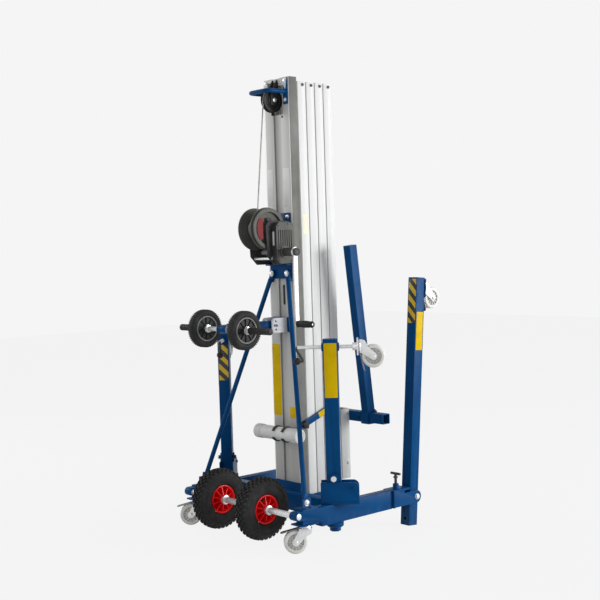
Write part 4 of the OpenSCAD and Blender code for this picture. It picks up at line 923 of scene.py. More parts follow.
# %% [markdown]
# The rest of the cable lies on the drum in two layers. The upper layer lies in the valleys of the lower
# one, half a step aside, as a well-led cable does.

# %% Cable on the drum
low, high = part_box("drum_winding")
layer_radius = (high.z - low.z) / 2 - CABLE / 2
LOOPS, LOOP_STEP, LAYER_DROP = 10, 0.0067, 0.0049
first = drum.x - LOOPS * LOOP_STEP / 2


def helix(middle, radius, start, loops, step, per_loop=36):
    """A winding about the X axis through `middle`."""
    points = []
    for k in range(loops * per_loop + 1):
        turn = 2 * math.pi * k / per_loop
        x = start + step * turn / (2 * math.pi)
        points.append(Vector((x, middle.y + radius * math.sin(turn), middle.z + radius * math.cos(turn))))
    return points


upper = helix(drum, layer_radius, first, LOOPS, LOOP_STEP)
lower = helix(drum, layer_radius - LAYER_DROP, first - LOOP_STEP / 2, LOOPS + 1, LOOP_STEP)
wound = grow(STRANDS, "drum_cable_laid", path_sketch("drum_path", upper, lower), 60, Step=0.004)
piece("drum_cable_laid", wound, "drum", [CABLE_STEEL], ("drum_winding",))
print("drum cable faces:", len(wound.polygons))

# %% [markdown]
# The rims are moulded in red plastic. A rolled lip holds the tyre, a thin floor closes the barrel, and
# ten ribs on each face run from the lip to a hub that stands proud of them. A steel thrust washer on
# each face and a rubber valve stem with a black cap are fitted afterwards.

# %% Rims
AXLE_BORE, WASHER_RADIUS = 0.0131, 0.0165
RIBS, RIB_HALF, RIB_END = 10, 0.0018, RIM_RADIUS - 0.006
RIB = ((0.002, 0.017), (0.0315, 0.017), (0.0225, RIB_END), (0.002, RIB_END))
RIM_WALL = [(RIM_RADIUS + rise, x) for rise, x in (
    (-0.0120, 0.0035), (-0.0095, 0.0060), (-0.0060, 0.0260), (-0.0048, 0.0292), (-0.0020, 0.0308),
    (0.0010, 0.0300), (0.0016, 0.0280), (0.0002, 0.0262), (-0.0040, 0.0225))]
VALVE_STEM = [(0, -0.004), (0.0046, -0.004), (0.004, 0.010), (0.003, 0.014), (0.003, 0.020), (0, 0.020)]
VALVE_CAP = [(0, 0.0198), (0.0034, 0.0198), (0.0034, 0.025), (0.0028, 0.026), (0, 0.026)]
ROUND_RED = round_tree("round_red", RED_PLASTIC)
TURNED_UP = Matrix(((1, 0, 0, 0), (0, 0, -1, 0), (0, 1, 0, 0), (0, 0, 0, 1)))


def face_washers(shape, hub, half, bore, depth, chamfer, finish, steps):
    """A washer let into each face of a wheel whose axle runs along X."""
    top = half + 0.0002
    outline = [(bore, half - depth), (WASHER_RADIUS, half - depth), (WASHER_RADIUS, half + 0.0001),
               (WASHER_RADIUS - chamfer, top), (bore, top)]
    for face in (-1, 1):
        shape.lathe(outline, along(hub, (face, 0, 0)), finish, steps)


for side, sign in SIDES:
    hub, _, half = wheel_box(f"rim_{side}")
    hub_wall = [(AXLE_BORE, half - 0.001), (0.0175, half - 0.001), (0.0185, half - 0.003), (0.0205, 0.004)]
    face_profile = hub_wall + RIM_WALL
    body = Shape()
    far_profile = [(radius, -x) for radius, x in reversed(face_profile)]
    body.lathe(face_profile + far_profile, along(hub, RIGHTWARD), steps=80)
    mesh = body.mesh(f"rim_{side}_body", smooth=35)
    piece(f"rim_{side}_body", mesh, f"wheel_{side}", [RED_PLASTIC], (f"rim_{side}",))
    rib = Shape()
    for face in (-1, 1):
        rib.prism([(face * x, height) for x, height in RIB], -RIB_HALF, RIB_HALF, TURNED_UP)
    ribs = repeat_round(ROUND_RED, f"rim_{side}_ribs", rib, RIBS, hub)
    piece(f"rim_{side}_ribs", ribs, f"wheel_{side}", [RED_PLASTIC], ())
    fitted = Shape()
    face_washers(fitted, hub, half, AXLE_BORE, 0.004, 0.0007, 0, 48)
    spot = Matrix.Rotation(math.radians(180 / RIBS), 3, "X") @ Vector((0, 0, RIM_RADIUS - 0.015))
    valve = along(hub + spot + Vector((sign * 0.002, 0, 0)), (sign, 0, -0.2))
    fitted.lathe(VALVE_STEM, valve, 1, 16)
    fitted.lathe(VALVE_CAP, valve, 2, 12)
    mesh = fitted.mesh(f"rim_{side}_fittings")
    piece(f"rim_{side}_fittings", mesh, f"wheel_{side}", [ZINC, RUBBER, BLACK_PLASTIC])
    print("rim fittings", side, len(mesh.polygons))

# %% [markdown]
# High on the mast's rear sit two small wheels. When the hoist is tipped back on them it rolls into a
# van. Each is a ribbed rubber tyre on a black hub with a grey ring and a zinc cover. Nodes repeat the
# tyre's cross ribs and the hub's spokes about the axle.

# %% Tip wheels
ROUND_BLACK = round_tree("round_black", BLACK_PLASTIC)
TIP_BORE, TIP_RIBS, TIP_RIB_HALF, TIP_SPOKES = 0.0101, 54, 0.0017, 10
for side, _ in SIDES:
    name = f"tip_wheel_{side}"
    hub, outer, half = wheel_box(name)
    wheel = Shape()
    at = along(hub, RIGHTWARD)
    tyre = [(0.0535, half - 0.006), (0.06, half - 0.002), (outer - 0.012, half - 0.001),
            (outer - 0.005, half - 0.005), (outer - 0.0015, half - 0.012)]
    core = [(TIP_BORE, half), (0.018, half), (0.02, half - 0.008), (0.047, half - 0.01),
            (0.0475, half - 0.005)]
    ring = [(0.0472, half - 0.004), (0.0490, half - 0.0015), (0.0525, half - 0.0015), (0.0545, half - 0.005)]
    wheel.lathe(both_sides(tyre), at, 0, 72)
    wheel.lathe(both_sides(core), at, 1, 64)
    wheel.lathe(both_sides(ring), at, 3, 72)
    face_washers(wheel, hub, half, TIP_BORE, 0.002, 0.001, 2, 40)
    mesh = wheel.mesh(name + "_body")
    piece(name + "_body", mesh, name, [RUBBER, BLACK_PLASTIC, ZINC, RING_GREY], (name,))
    rib = Shape()
    rib.block((-half + 0.006, -TIP_RIB_HALF, outer - 0.006), (half - 0.006, TIP_RIB_HALF, outer))
    ribs = repeat_round(ROUND_RUBBER, name + "_ribs", rib, TIP_RIBS, hub)
    piece(name + "_ribs", ribs, name, [RUBBER], ())
    spoke = face_blocks(half - 0.012, half - 0.004, 0.002, 0.017, 0.0475)
    spokes = repeat_round(ROUND_BLACK, name + "_spokes", spoke, TIP_SPOKES, hub)
    piece(name + "_spokes", spokes, name, [BLACK_PLASTIC], ())
    print("tip wheel", side, "faces:", len(mesh.polygons) + len(ribs.polygons) + len(spokes.polygons))

# %% [markdown]
# Six swivel castors carry the hoist: two under the beams' tails, one on each leg and one on each
# stabiliser's jack. All are the same bought-in part, so one castor is drawn in its own frame, with
# the swivel axis as Z, the floor at zero and the wheel trailing along X, and set on each joint.

# %% A castor's frame
CASTOR_RADIUS = (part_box("leg_castor_wheel_right")[1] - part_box("leg_castor_wheel_right")[0]).y / 2
# How high the head of each kind of castor stands above the floor.
HEAD_HEIGHT = {"rear": 0.115, "leg": 0.108, "jack": 0.108}


def castor_frame(kind, side):
    """A castor's frame and its trail, worked out from its swivel and its wheel's axle."""
    swivel = f"{kind}_castor_swivel_{side}"
    pivot, axis = joint_at(swivel), Vector(JOINTS[swivel]["axis"]).normalized()
    wheel = joint_at(f"{kind}_castor_wheel_turn_{side}")
    upward = axis if axis.dot(pivot - wheel) > 0 else -axis
    back = wheel - pivot
    back -= back.dot(upward) * upward
    x = back.normalized()
    return framed(wheel - back - CASTOR_RADIUS * upward, x, upward.cross(x), upward), back.length


print("castor wheel radius:", round(CASTOR_RADIUS, 4))

# %% [markdown]
# The fork is pressed from sheet and zinc plated, with a double ball race in its head, a bolt through
# the wheel and a foot pedal that locks it. The legs' outline is drawn as the press tool cuts it: wide
# at the crown, swept back to a round eye about the axle.

# %% Castor forks
LEG_IN, LEG_SHEET, EYE = 0.018, 0.0035, 0.015
CROWN, CROWN_SHEET = 2 * CASTOR_RADIUS + 0.003, 0.004
HEAD_NOSE, HEAD_TAIL = -0.0245, 0.0265
FORK_NUT = [(0, 0.001), (0.0088, 0.001), (0.0088, 0.0062), (0.0074, 0.0072), (0, 0.0072)]
PEDAL_EDGE = [(0, -0.013), (0.05, -0.013), (0.06, -0.014), (0.079, -0.014), (0.085, -0.010)]
PEDAL = PEDAL_EDGE + [(0.087, 0)] + [(x, -y) for x, y in reversed(PEDAL_EDGE)]
PEDAL_LEAN, PEDAL_SHEET, PEDAL_RIDGES = math.radians(14), 0.003, 4


def fork_outline(trail):
    """The side view of one fork leg in X and Z."""
    turns = [math.radians(t) for t in range(-150, 61, 15)]
    eye = [(trail + EYE * math.cos(a), CASTOR_RADIUS + EYE * math.sin(a)) for a in turns]
    top = CROWN + CROWN_SHEET
    crown = [(0.034, CROWN - 0.014), (HEAD_TAIL, CROWN - 0.002), (0.0245, top), (HEAD_NOSE, top)]
    nose = [(-0.026, CROWN - 0.004), (-0.022, CROWN - 0.016)]
    return eye + crown + nose + [(0.002, CASTOR_RADIUS + 0.02), (0.018, CASTOR_RADIUS + 0.002)]


def build_fork(place, trail, top):
    """All that swivels above the wheel, without the wheel."""
    fork = Shape()
    turn = place.to_3x3()
    for face in (-1, 1):
        leg = place @ Matrix(((1, 0, 0, 0), (0, 0, face, 0), (0, 1, 0, 0), (0, 0, 0, 1)))
        fork.prism(fork_outline(trail), LEG_IN, LEG_IN + LEG_SHEET, leg)
        seat = place @ Vector((trail, face * (LEG_IN + LEG_SHEET), CASTOR_RADIUS))
        nut = along(seat, turn @ Vector((0, face, 0)))
        fork.rod(0.0105, -0.001, 0.0012, nut)
        fork.lathe(FORK_NUT, nut, 0, 6)
    side = LEG_IN + 0.003
    bridge = [(HEAD_NOSE, -side), (HEAD_TAIL, -side), (HEAD_TAIL, side), (HEAD_NOSE, side)]
    fork.prism(bridge, CROWN, CROWN + CROWN_SHEET, place)
    race = [(0, 0.0002), (0.0265, 0.0002), (0.0285, 0.002), (0.0285, 0.0045), (0.026, 0.0055),
            (0.0245, 0.0058)]
    head = [(0.0245, top - 0.0015), (0.0235, top - 0.0003), (0, top - 0.0003)]
    fork.lathe([(radius, CROWN + rise) for radius, rise in race] + head, place)
    fork.rod(0.007, top - 0.002, top + 0.0034, place)
    axle = along(place @ Vector((trail, 0, CASTOR_RADIUS)), turn @ Vector((0, 1, 0)))
    fork.rod(0.006, -LEG_IN - 0.001, LEG_IN + 0.001, axle)
    lean = place @ Matrix.Translation((trail, 0, CASTOR_RADIUS)) @ Matrix.Rotation(PEDAL_LEAN, 4, "Y")
    lean = lean @ Matrix.Translation((-0.0365, 0, CASTOR_RADIUS + 0.001))
    fork.prism(PEDAL, 0.0, PEDAL_SHEET, lean, 1)
    for k in range(PEDAL_RIDGES):
        step = 0.006 * k
        fork.block((0.058 + step, -0.011, 0.0028), (0.0605 + step, 0.011, 0.0042), 1, lean)
    return fork


for kind, head in HEAD_HEIGHT.items():
    for side, _ in SIDES:
        place, trail = castor_frame(kind, side)
        name = f"{kind}_castor_{side}"
        mesh = build_fork(place, trail, head).mesh(name + "_fork", 0.0006)
        piece(name + "_fork", mesh, name, [ZINC, BLACK_PAINT], (name,))
print("castor forks: 6, faces each:", len(mesh.polygons))

# %% [markdown]
# The castor wheels are cast in pale nylon about a grey hub. The tread is turned with round shoulders,
# and the hub's webs are repeated about the axle. The wheels stand at any angle, so the webs are grown
# about the X axis and then turned into the castor's frame.

# %% Castor wheels
HUB_GREY = grained("castor_hub_grey", (0.50, 0.49, 0.46), (0.58, 0.57, 0.54), 0.45)
ROUND_HUB = round_tree("round_hub", HUB_GREY)
WEB_COUNT, CASTOR_HALF, PIN_BORE = 12, 0.016, 0.00605
web = face_blocks(0.0095, 0.0145, 0.0014, 0.0135, 0.0325)
WEBS = repeat_round(ROUND_HUB, "castor_webs", web, WEB_COUNT, Vector((0, 0, 0)))


def build_castor_wheel(place):
    """The wheel about the frame's Z: pale tread, grey hub and a zinc bush."""
    wheel = Shape()
    r, half = CASTOR_RADIUS, CASTOR_HALF
    tread = [(0.032, half - 0.004), (0.0335, half - 0.0006), (r - 0.007, half), (r - 0.0022, half - 0.002),
             (r, half - 0.006)]
    hub = [(0.0085, half + 0.0012), (0.0135, half + 0.0012), (0.0145, half - 0.006), (0.0325, half - 0.007)]
    bush = [(PIN_BORE, half + 0.0016), (0.009, half + 0.0016)]
    wheel.lathe(both_sides(tread), place, 0, 64)
    wheel.lathe(both_sides(hub), place, 1, 40)
    wheel.lathe(both_sides(bush), place, 2, 28)
    return wheel


for kind in HEAD_HEIGHT:
    for side, _ in SIDES:
        place, trail = castor_frame(kind, side)
        turn = place.to_3x3()
        middle = place @ Vector((trail, 0, CASTOR_RADIUS))
        axle = along(middle, turn @ Vector((0, 1, 0)), turn @ Vector((0, 0, 1)))
        name = f"{kind}_castor_wheel_{side}"
        mesh = build_castor_wheel(axle).mesh(name + "_body")
        piece(name + "_body", mesh, name, [NYLON, HUB_GREY, ZINC], (name,))
        webs = WEBS.copy()
        webs.transform(axle @ Matrix.Rotation(math.radians(-90), 4, "Y"))
        piece(name + "_webs", webs, name, [HUB_GREY], ())
print("castor wheels: 6, faces each:", len(mesh.polygons) + len(webs.polygons))

# %% [markdown]
# Each stabiliser is levelled by a jack: a zinc spindle with a coarse thread, a dark bent crank and a
# black ball. The thread is a helix swept by the same strand tree, with a plain round outline half sunk
# in the rod, so the crests stand out as a rolled thread's do.

# %% Jack spindles
THREADS = strand_tree("threads", ZINC)
ROD, LEAD, PER_LEAD, THREAD_START, THREAD_ROOM = 0.0074, 0.005, 24, -0.105, 0.104
CRANK_OUT, CRANK_ARM, ARM_BACK, CRANK_BAR = 0.134, 0.056, 0.022, 0.0055
ELBOW = ((0.010, 0), (-0.002, 0), (-0.004, -0.004), (-0.002, -0.012))
HAND_BEND = ((-0.003, 0.008), (0, 0), (-0.014, -0.001))
BALL, BALL_MIDDLE = 0.0148, 0.0118


def spindle(side):
    """The rod with its crank and ball, and the path of its thread. X runs along the spindle."""
    axis, pivot = Vector(JOINTS[f"jack_turn_{side}"]["axis"]), joint_at(f"jack_turn_{side}")
    upward = Vector(UPWARD)
    place = framed(pivot, axis, upward.cross(axis), upward)
    low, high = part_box(f"jack_spindle_{side}")
    far = max((Vector((x, high.y, high.z)) - pivot).dot(axis) for x in (low.x, high.x))
    shape = Shape()
    shape.tube([place @ Vector((x, 0, 0)) for x in (-CRANK_OUT, far)], ROD, 0, 24)
    hand = Vector((-CRANK_OUT + ARM_BACK, 0, -CRANK_ARM))
    bar = [Vector((-CRANK_OUT + x, 0, z)) for x, z in ELBOW]
    bar += [hand + Vector((x, 0, z)) for x, z in HAND_BEND]
    shape.tube([place @ p for p in bar], CRANK_BAR, 2, 16)
    ball = along(place @ (hand + Vector((-0.012, 0, 0))), place.to_3x3() @ Vector((-1, 0, 0)))
    turns = [math.radians(t) for t in range(-50, 90, 10)]
    turned = [(BALL * math.cos(a), BALL_MIDDLE + BALL * math.sin(a)) for a in turns]
    shape.lathe([(0, 0)] + turned + [(0, BALL_MIDDLE + BALL)], ball, 1, 28)
    coil = []
    for t in range(int((far + THREAD_ROOM) / LEAD * PER_LEAD)):
        a = t * math.pi / (PER_LEAD / 2)
        x = THREAD_START + LEAD * t / PER_LEAD
        coil.append(place @ Vector((x, ROD * math.cos(a), ROD * math.sin(a))))
    return shape, coil


for side, _ in SIDES:
    name = f"jack_spindle_{side}"
    shape, coil = spindle(side)
    mesh = shape.mesh(name + "_rod")
    piece(name + "_rod", mesh, name, [ZINC, BLACK_PLASTIC, DARK_STEEL], (name,))
    path = path_sketch("thread_path", coil)
    thread = grow(THREADS, name + "_thread", path, 60, Radius=0.0011, Lobe=0.0, Step=0.0025, Sides=6)
    piece(name + "_thread", thread, name, [ZINC], ())
    print("jack spindle", side, "faces:", len(mesh.polygons) + len(thread.polygons))

# %% [markdown]
# The crank ends in a turned grip that spins on its pin. Its waist and rings are cut on a lathe. The
# pushing grips on the tip axle are soft sleeves with rings, and keep the solid's form.

# %% Grips
low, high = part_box("crank_grip")
grip_length, grip_radius = high.x - low.x, (high.z - low.z) / 2
GRIP_RINGS, GRIP_PITCH = 11, 0.0064
outline = [(PIN_BORE, 0), (grip_radius - 0.003, 0), (grip_radius, 0.004), (grip_radius - 0.001, 0.010)]
for k in range(GRIP_RINGS):
    start = 0.014 + k * GRIP_PITCH
    crest = grip_radius - 0.0028 + 0.0026 * math.sin(math.pi * (k + 0.5) / GRIP_RINGS)
    root = crest - 0.0011
    outline += [(root, start), (crest, start + 0.0014), (crest, start + 0.0042), (root, start + 0.0056)]
for inset, back in ((0.001, 0.009), (0.004, 0.003), (0.009, 0)):
    outline.append((grip_radius - inset, grip_length - back))
outline.append((PIN_BORE, grip_length))
middle = centre("crank_grip")
grip = Shape().lathe(outline, along((low.x, middle.y, middle.z), RIGHTWARD), 0, 40)
mesh = grip.mesh("crank_grip_turned", smooth=25)
piece("crank_grip_turned", mesh, "crank_grip", [BLACK_PLASTIC], ("crank_grip",))
softened("hand_grips", 0.0004)
print("crank grip faces:", len(mesh.polygons))

# %% [markdown]
# The papers travel in a pale plastic tube across the mast, closed by ribbed caps and held by two black
# clips. The caps' ribs are one rib repeated about the tube's axis.

# %% Document tube
ROUND_TUBE = round_tree("round_tube", TUBE_GREY)
TUBE_RIBS, TUBE_STEPS, CAP_LENGTH = 36, 56, 0.04
middle, tube_radius, tube_half = wheel_box("document_tube")
tube_end = tube_half - CAP_LENGTH / 2
tube = Shape()
tube.rod(tube_radius - 0.002, -tube_end, tube_end, along(middle, RIGHTWARD), 0, TUBE_STEPS)
cap = [(tube_radius - inset, tube_half - back) for inset, back in (
    (0.0008, CAP_LENGTH), (0.0006, 0.038), (0.0006, 0.002), (0.003, 0), (0.008, 0), (0.009, 0.002))]
cap = [(0, tube_half - CAP_LENGTH)] + cap + [(0, tube_half - 0.002)]
for face in (-1, 1):
    tube.lathe(cap, along(middle, (face, 0, 0)), 0, TUBE_STEPS)
mesh = tube.mesh("document_tube_body")
piece("document_tube_body", mesh, "base", [TUBE_GREY], ("document_tube",))
rib = face_blocks(tube_half - 0.034, tube_half - 0.006, 0.0011, tube_radius - 0.0016, tube_radius)
ribs = repeat_round(ROUND_TUBE, "document_tube_ribs", rib, TUBE_RIBS, middle)
piece("document_tube_ribs", ribs, "base", [TUBE_GREY], ())
print("document tube faces:", len(mesh.polygons) + len(ribs.polygons))

# %% [markdown]
# A flat bar at the mast's side locks the nested sections for transport. It turns on a pin under a
# black star knob, whose five lobes are drawn as one wavy outline.

# %% Lock knob
KNOB_LOBES, KNOB_STEPS, KNOB_RADIUS, KNOB_WAVE = 5, 60, 0.0155, 0.0022
lock_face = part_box("transport_lock")[1].x
pivot = joint_at("lock_swing")
lobes = []
for k in range(KNOB_STEPS):
    angle = 2 * math.pi * k / KNOB_STEPS
    reach = KNOB_RADIUS + KNOB_WAVE * math.cos(KNOB_LOBES * angle)
    lobes.append((reach * math.cos(angle), reach * math.sin(angle)))
knob = Shape()
at = along((lock_face, pivot.y, pivot.z), RIGHTWARD)
knob.prism(lobes, -0.0125, 0.001, at)
knob.lathe([(0, 0.0008), (0.010, 0.0008), (0.008, 0.0034), (0, 0.0034)], at, 0, 32)
mesh = knob.mesh("lock_knob", 0.0008, 45)
piece("lock_knob", mesh, "lock", [BLACK_PLASTIC], ())
print("lock knob faces:", len(mesh.polygons))

# %% [markdown]
# The winch is a spur-geared hand winch with a load brake. Its drum keeps the solid's form and gets the
# concentric beads that a press leaves in a flange, a window where the cable's end is clamped and a red
# strip that shows from afar which way the drum turns.

# %% Winch drum
drum_axis = joint_at("drum_turn")
softened("winch_drum", 0.0008)
drum_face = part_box("winch_drum")[1].x
FLANGE_IN, FLANGE_OUT = 0.038, 0.042
BEAD_RADII, BEAD_HALF = (0.052, 0.060, 0.068, 0.076, 0.083), 0.002
STRIP_IN, STRIP_OUT, STRIP_HALF, STRIP_ROUND, STRIP_STEPS = 0.035, 0.066, 0.0435, 0.0675, 12
beads = Shape()
at = along((0, drum_axis.y, drum_axis.z), RIGHTWARD)
for radius in BEAD_RADII:
    for face, out in ((-FLANGE_IN, 1), (FLANGE_IN, -1), (-FLANGE_OUT, -1)):
        root, crest = face - 0.0004 * out, face + 0.0013 * out
        beads.lathe([(radius - BEAD_HALF, root), (radius, crest), (radius + BEAD_HALF, root)], at, 0, 72)
strip = [(STRIP_IN, -STRIP_HALF), (STRIP_IN, STRIP_HALF)]
for k in range(STRIP_STEPS + 1):
    height = STRIP_HALF - 2 * STRIP_HALF * k / STRIP_STEPS
    strip.append((min(STRIP_OUT, math.sqrt(STRIP_ROUND ** 2 - height ** 2)), height))
face = framed((drum_face, drum_axis.y, drum_axis.z), REARWARD, UPWARD, RIGHTWARD)
beads.prism(strip, -0.0002, 0.0006, face, 1)
beads.block((-0.012, 0.032, -0.0002), (0.012, 0.046, 0.0005), 2, face)
mesh = beads.mesh("drum_details")
piece("drum_details", mesh, "drum", [DRUM_GREY, PLATE_RED, BLACK_PLASTIC])
print("drum detail faces:", len(mesh.polygons))

# %% [markdown]
# The crank's long hub is dark cast iron and its arm is zinc plated flat bar. A moulded cap hides the nut.
# The gear cover is grey. Its rear side, which faces away from the lamp, is painted black as painted
# shade, and a pale slot in it shows the brake's pawl. A round tie bar keeps the frame's two plates apart
# under the drum.

# %% Crank, cover and tie bar
pinion_axis = joint_at("crank_turn")
arm_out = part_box("crank_grip")[0].x - 0.0003
HUB_START, HUB_END, HUB_RADIUS = 0.101, arm_out - 0.0085, 0.0195


def on_hub(at, out):
    reach = math.hypot(at.y - pinion_axis.y, at.z - pinion_axis.z)
    return HUB_START < at.x < HUB_END and reach < HUB_RADIUS


softened("winch_crank", 0.0006, (DARK_STEEL, on_hub))
CAP_OUTLINE = [(0, 0.0002), (0.0172, 0.0002), (0.0172, 0.008), (0.0155, 0.0105), (0.0125, 0.0112),
               (0.0115, 0.0104), (0, 0.0104)]
cap = Shape().lathe(CAP_OUTLINE, along((arm_out, pinion_axis.y, pinion_axis.z), RIGHTWARD), 0, 40)
piece("crank_cap", cap.mesh("crank_cap"), "crank", [DARK_STEEL])

# Painted shade: every rear-facing face of the gear cover wears black paint.
softened("gear_cover", 0.0008, (BLACK_PAINT, lambda at, out: out.y < -0.5))
cover_low, cover_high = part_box("gear_cover")
COVER_FACE, COVER_REAR = cover_high.x - 0.004, cover_low.y
trim = Shape()
trim.block((0.0712, COVER_REAR - 0.0006, 1.231), (0.0815, COVER_REAR + 0.001, 1.289), 0)
trim.block((0.0695, COVER_REAR - 0.0003, 1.2285), (0.0832, COVER_REAR + 0.001, 1.2915), 1)
trim.block((COVER_FACE - 0.001, COVER_REAR + 0.004, 1.205),
           (COVER_FACE + 0.0004, COVER_REAR + 0.014, 1.216), 1)
piece("cover_trim", trim.mesh("cover_trim", 0.0002), "base", [TUBE_GREY, BLACK_PLASTIC])

TIE_OUTLINE = [(0, -0.0475), (0.0062, -0.0475), (0.0062, -0.046), (0.0055, -0.0452), (0.0055, 0.0592),
               (0.0062, 0.06), (0.0062, 0.061), (0, 0.061)]
at = along((0, -0.205, 1.176), RIGHTWARD)
tie = Shape().lathe(TIE_OUTLINE, at, 0, 24)
for start, end in ((-0.0562, -0.0522), (0.0653, 0.0693)):
    tie.rod(0.0075, start, end, at, 0, 6)
piece("frame_tie_bar", tie.mesh("frame_tie_bar"), "base", [ZINC])
print("winch trim: crank cap, cover trim, tie bar")

# %% [markdown]
# The frame is bolted together. The bolts' heads and pins are solids of the part and keep their form. What
# they lack is washers and the small screws of the covers, and both repeat, so one tree makes them: it
# sets a washer and a chamfered head on every point of a sketch and turns them along the point's axis.

# %% Bolts and washers
for name, radius in (("fasteners", 0.0005), ("axles", 0.0006), ("top_sheave", 0.0006)):
    softened(name, radius)


def bolt_tree(name, material):
    """A washer and a head on each point, along the named vector "axis"."""
    tree = Tree(name, Head=0.005, Height=0.0035, Washer=0.0075, Sheet=0.0012, Corners=6)
    given = tree.given
    washer = tree.node("GeometryNodeMeshCylinder", Vertices=24, Radius=given["Washer"], Depth=given["Sheet"])
    head = tree.node("GeometryNodeMeshCylinder", Vertices=given["Corners"], Radius=given["Head"],
                     Depth=given["Height"])
    middle = tree.vector(z=tree.math("MULTIPLY", given["Height"], 0.5))
    head = tree.node("GeometryNodeTransform", Geometry=head, Translation=middle)
    crown_radius = tree.math("MULTIPLY", given["Head"], 0.82)
    crown = tree.node("GeometryNodeMeshCylinder", Vertices=16, Radius=crown_radius, Depth=0.0008)
    crown = tree.node("GeometryNodeTransform", Geometry=crown, Translation=tree.vector(z=given["Height"]))
    bolt = tree.node("GeometryNodeJoinGeometry", Geometry=[washer, head, crown])
    axis = tree.node("GeometryNodeInputNamedAttribute", settings={"data_type": "FLOAT_VECTOR"}, Name="axis")
    spin = tree.node("FunctionNodeAlignRotationToVector", settings={"axis": "Z"}, Vector=axis)
    placed = tree.node("GeometryNodeInstanceOnPoints", Points=given["Geometry"], Instance=bolt, Rotation=spin)
    return tree.end(placed, material)


BOLTS = bolt_tree("bolts", ZINC)
DARK_BOLTS = bolt_tree("dark_bolts", DARK_STEEL)
DIAGONAL = 0.70711


def stab_axes(side, sign):
    """A stabiliser's pivot, the way its foot points and the way across it."""
    run, across = Vector((sign * DIAGONAL, DIAGONAL, 0)), Vector((-sign * DIAGONAL, DIAGONAL, 0))
    return joint_at(f"stab_fold_{side}"), run, across


def bolted(tree, name, body, places, finish, **sizes):
    """Bolts at (place, axis) pairs, as one mesh on one body."""
    base = sketch(name + "_points", [p for p, _ in places], axis=[a for _, a in places])
    piece(name, grow(tree, name, base, 30, **sizes), body, [finish])


PAIRED_SEATS = ((0.062, -0.1033, 1.848), (0.062, -0.1033, 1.931), (0.056, -0.1043, 0.890),
                (0.034, -0.1093, 1.170), (0.034, -0.1093, 1.301))
COVER_SCREWS = ((-0.190, 1.168), (-0.122, 1.164), (-0.192, 1.314), (-0.136, 1.320))
REAR_SCREWS = ((-0.2215, 1.300), (-0.2225, 1.215))
BOLT_REACH = 0.02
seats = [((0.056, -0.1043, 1.353), REARWARD)]
for _, sign in SIDES:
    seats += [((sign * x, y, z), REARWARD) for x, y, z in PAIRED_SEATS]
bolted(BOLTS, "small_washers", "base", seats, ZINC, Head=0.0055, Height=0.003, Washer=0.0088)
large = [((sign * 0.050, -0.1143, 1.110), REARWARD) for _, sign in SIDES]
large += [((sign * 0.385, 0.3027, 0.126), (sign, 0, 0)) for _, sign in SIDES]
large += [((sign * 0.347, -0.3023, 0.197), (sign, 0, 0)) for _, sign in SIDES]
bolted(BOLTS, "large_washers", "base", large, ZINC, Head=0.0070, Height=0.003, Washer=0.0125, Sheet=0.0024)
screws = [((COVER_FACE, y, z), RIGHTWARD) for y, z in COVER_SCREWS]
screws += [((0.0655, y, z), RIGHTWARD) for y, z in REAR_SCREWS]
bolted(DARK_BOLTS, "cover_screws", "base", screws, DARK_STEEL, Head=0.0042, Height=0.0026, Washer=0.0055,
       Sheet=0.0008, Corners=18)
holes = [((0.033, MAST_REAR, 1.779), REARWARD)]
bolted(DARK_BOLTS, "mast_rivet", "base", holes, DARK_STEEL, Head=0.004, Height=0.001, Washer=0.0055,
       Sheet=0.0006, Corners=16)
for side, sign in SIDES:
    pivot, _, across = stab_axes(side, sign)
    out = -across
    reach = {}
    for node in (f"stab_bracket_{side}", f"stab_arm_{side}"):
        offsets = [v.co - pivot for v in NODES[node].data.vertices]
        near = [o.dot(out) for o in offsets if (o - o.dot(out) * out).length < BOLT_REACH]
        reach[node] = max(near, default=0)
    carrier = max(reach, key=reach.get)
    seat = [(pivot + reach[carrier] * out, out)]
    bolted(BOLTS, f"stab_bolt_{side}", NODES[carrier]["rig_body"], seat, ZINC, Head=0.0075, Height=0.004,
           Washer=0.0115)
    print("stabiliser bolt on", carrier, "at", round(reach[carrier], 4))
print("bolts and screws:", len(seats) + len(large) + len(screws) + len(holes))

# %% [markdown]
# Steel tube frames are welded, and the bead is what tells a welded corner from a glued one. A bead is a
# row of overlapping ripples. The tree lays a small ball at even steps along each path, every
# one scaled a little differently from a fixed seed, and the coat of paint runs over it.

# %% Weld beads


def bead_tree(name, material):
    """Ripples along the sketch's paths."""
    tree = Tree(name, Size=0.0028, Step=0.0026, Seed=7)
    curve = tree.node("GeometryNodeMeshToCurve", Mesh=tree.given["Geometry"])
    points = tree.node("GeometryNodeCurveToPoints", settings={"mode": "LENGTH"}, Curve=curve,
                       Length=tree.given["Step"])
    ripple = tree.node("GeometryNodeMeshUVSphere", Segments=8, Rings=5, Radius=tree.given["Size"])
    size = tree.node("FunctionNodeRandomValue", output=1, settings={"data_type": "FLOAT"}, i2=0.85, i3=1.12,
                     Seed=tree.given["Seed"])
    placed = tree.node("GeometryNodeInstanceOnPoints", Points=points, Instance=ripple, Scale=size)
    return tree.end(placed, material)


WELDS = bead_tree("welds", BLUE)


def ring_path(middle, axis, radius, steps=28):
    """A circle about an axis."""
    place = along(middle, axis)
    turns = [2 * math.pi * k / steps for k in range(steps + 1)]
    return [place @ Vector((radius * math.cos(a), radius * math.sin(a), 0)) for a in turns]


def loop_path(place, x, y, height):
    """A rectangle in a frame's XY."""
    return [place @ Vector((a, b, height)) for a, b in ((-x, -y), (x, -y), (x, y), (-x, y), (-x, -y))]


def welded(name, body, paths, **sizes):
    mesh = grow(WELDS, name, path_sketch(name + "_path", *paths), 60, **sizes)
    piece(name, mesh, body, [BLUE], ())
    return len(mesh.polygons)


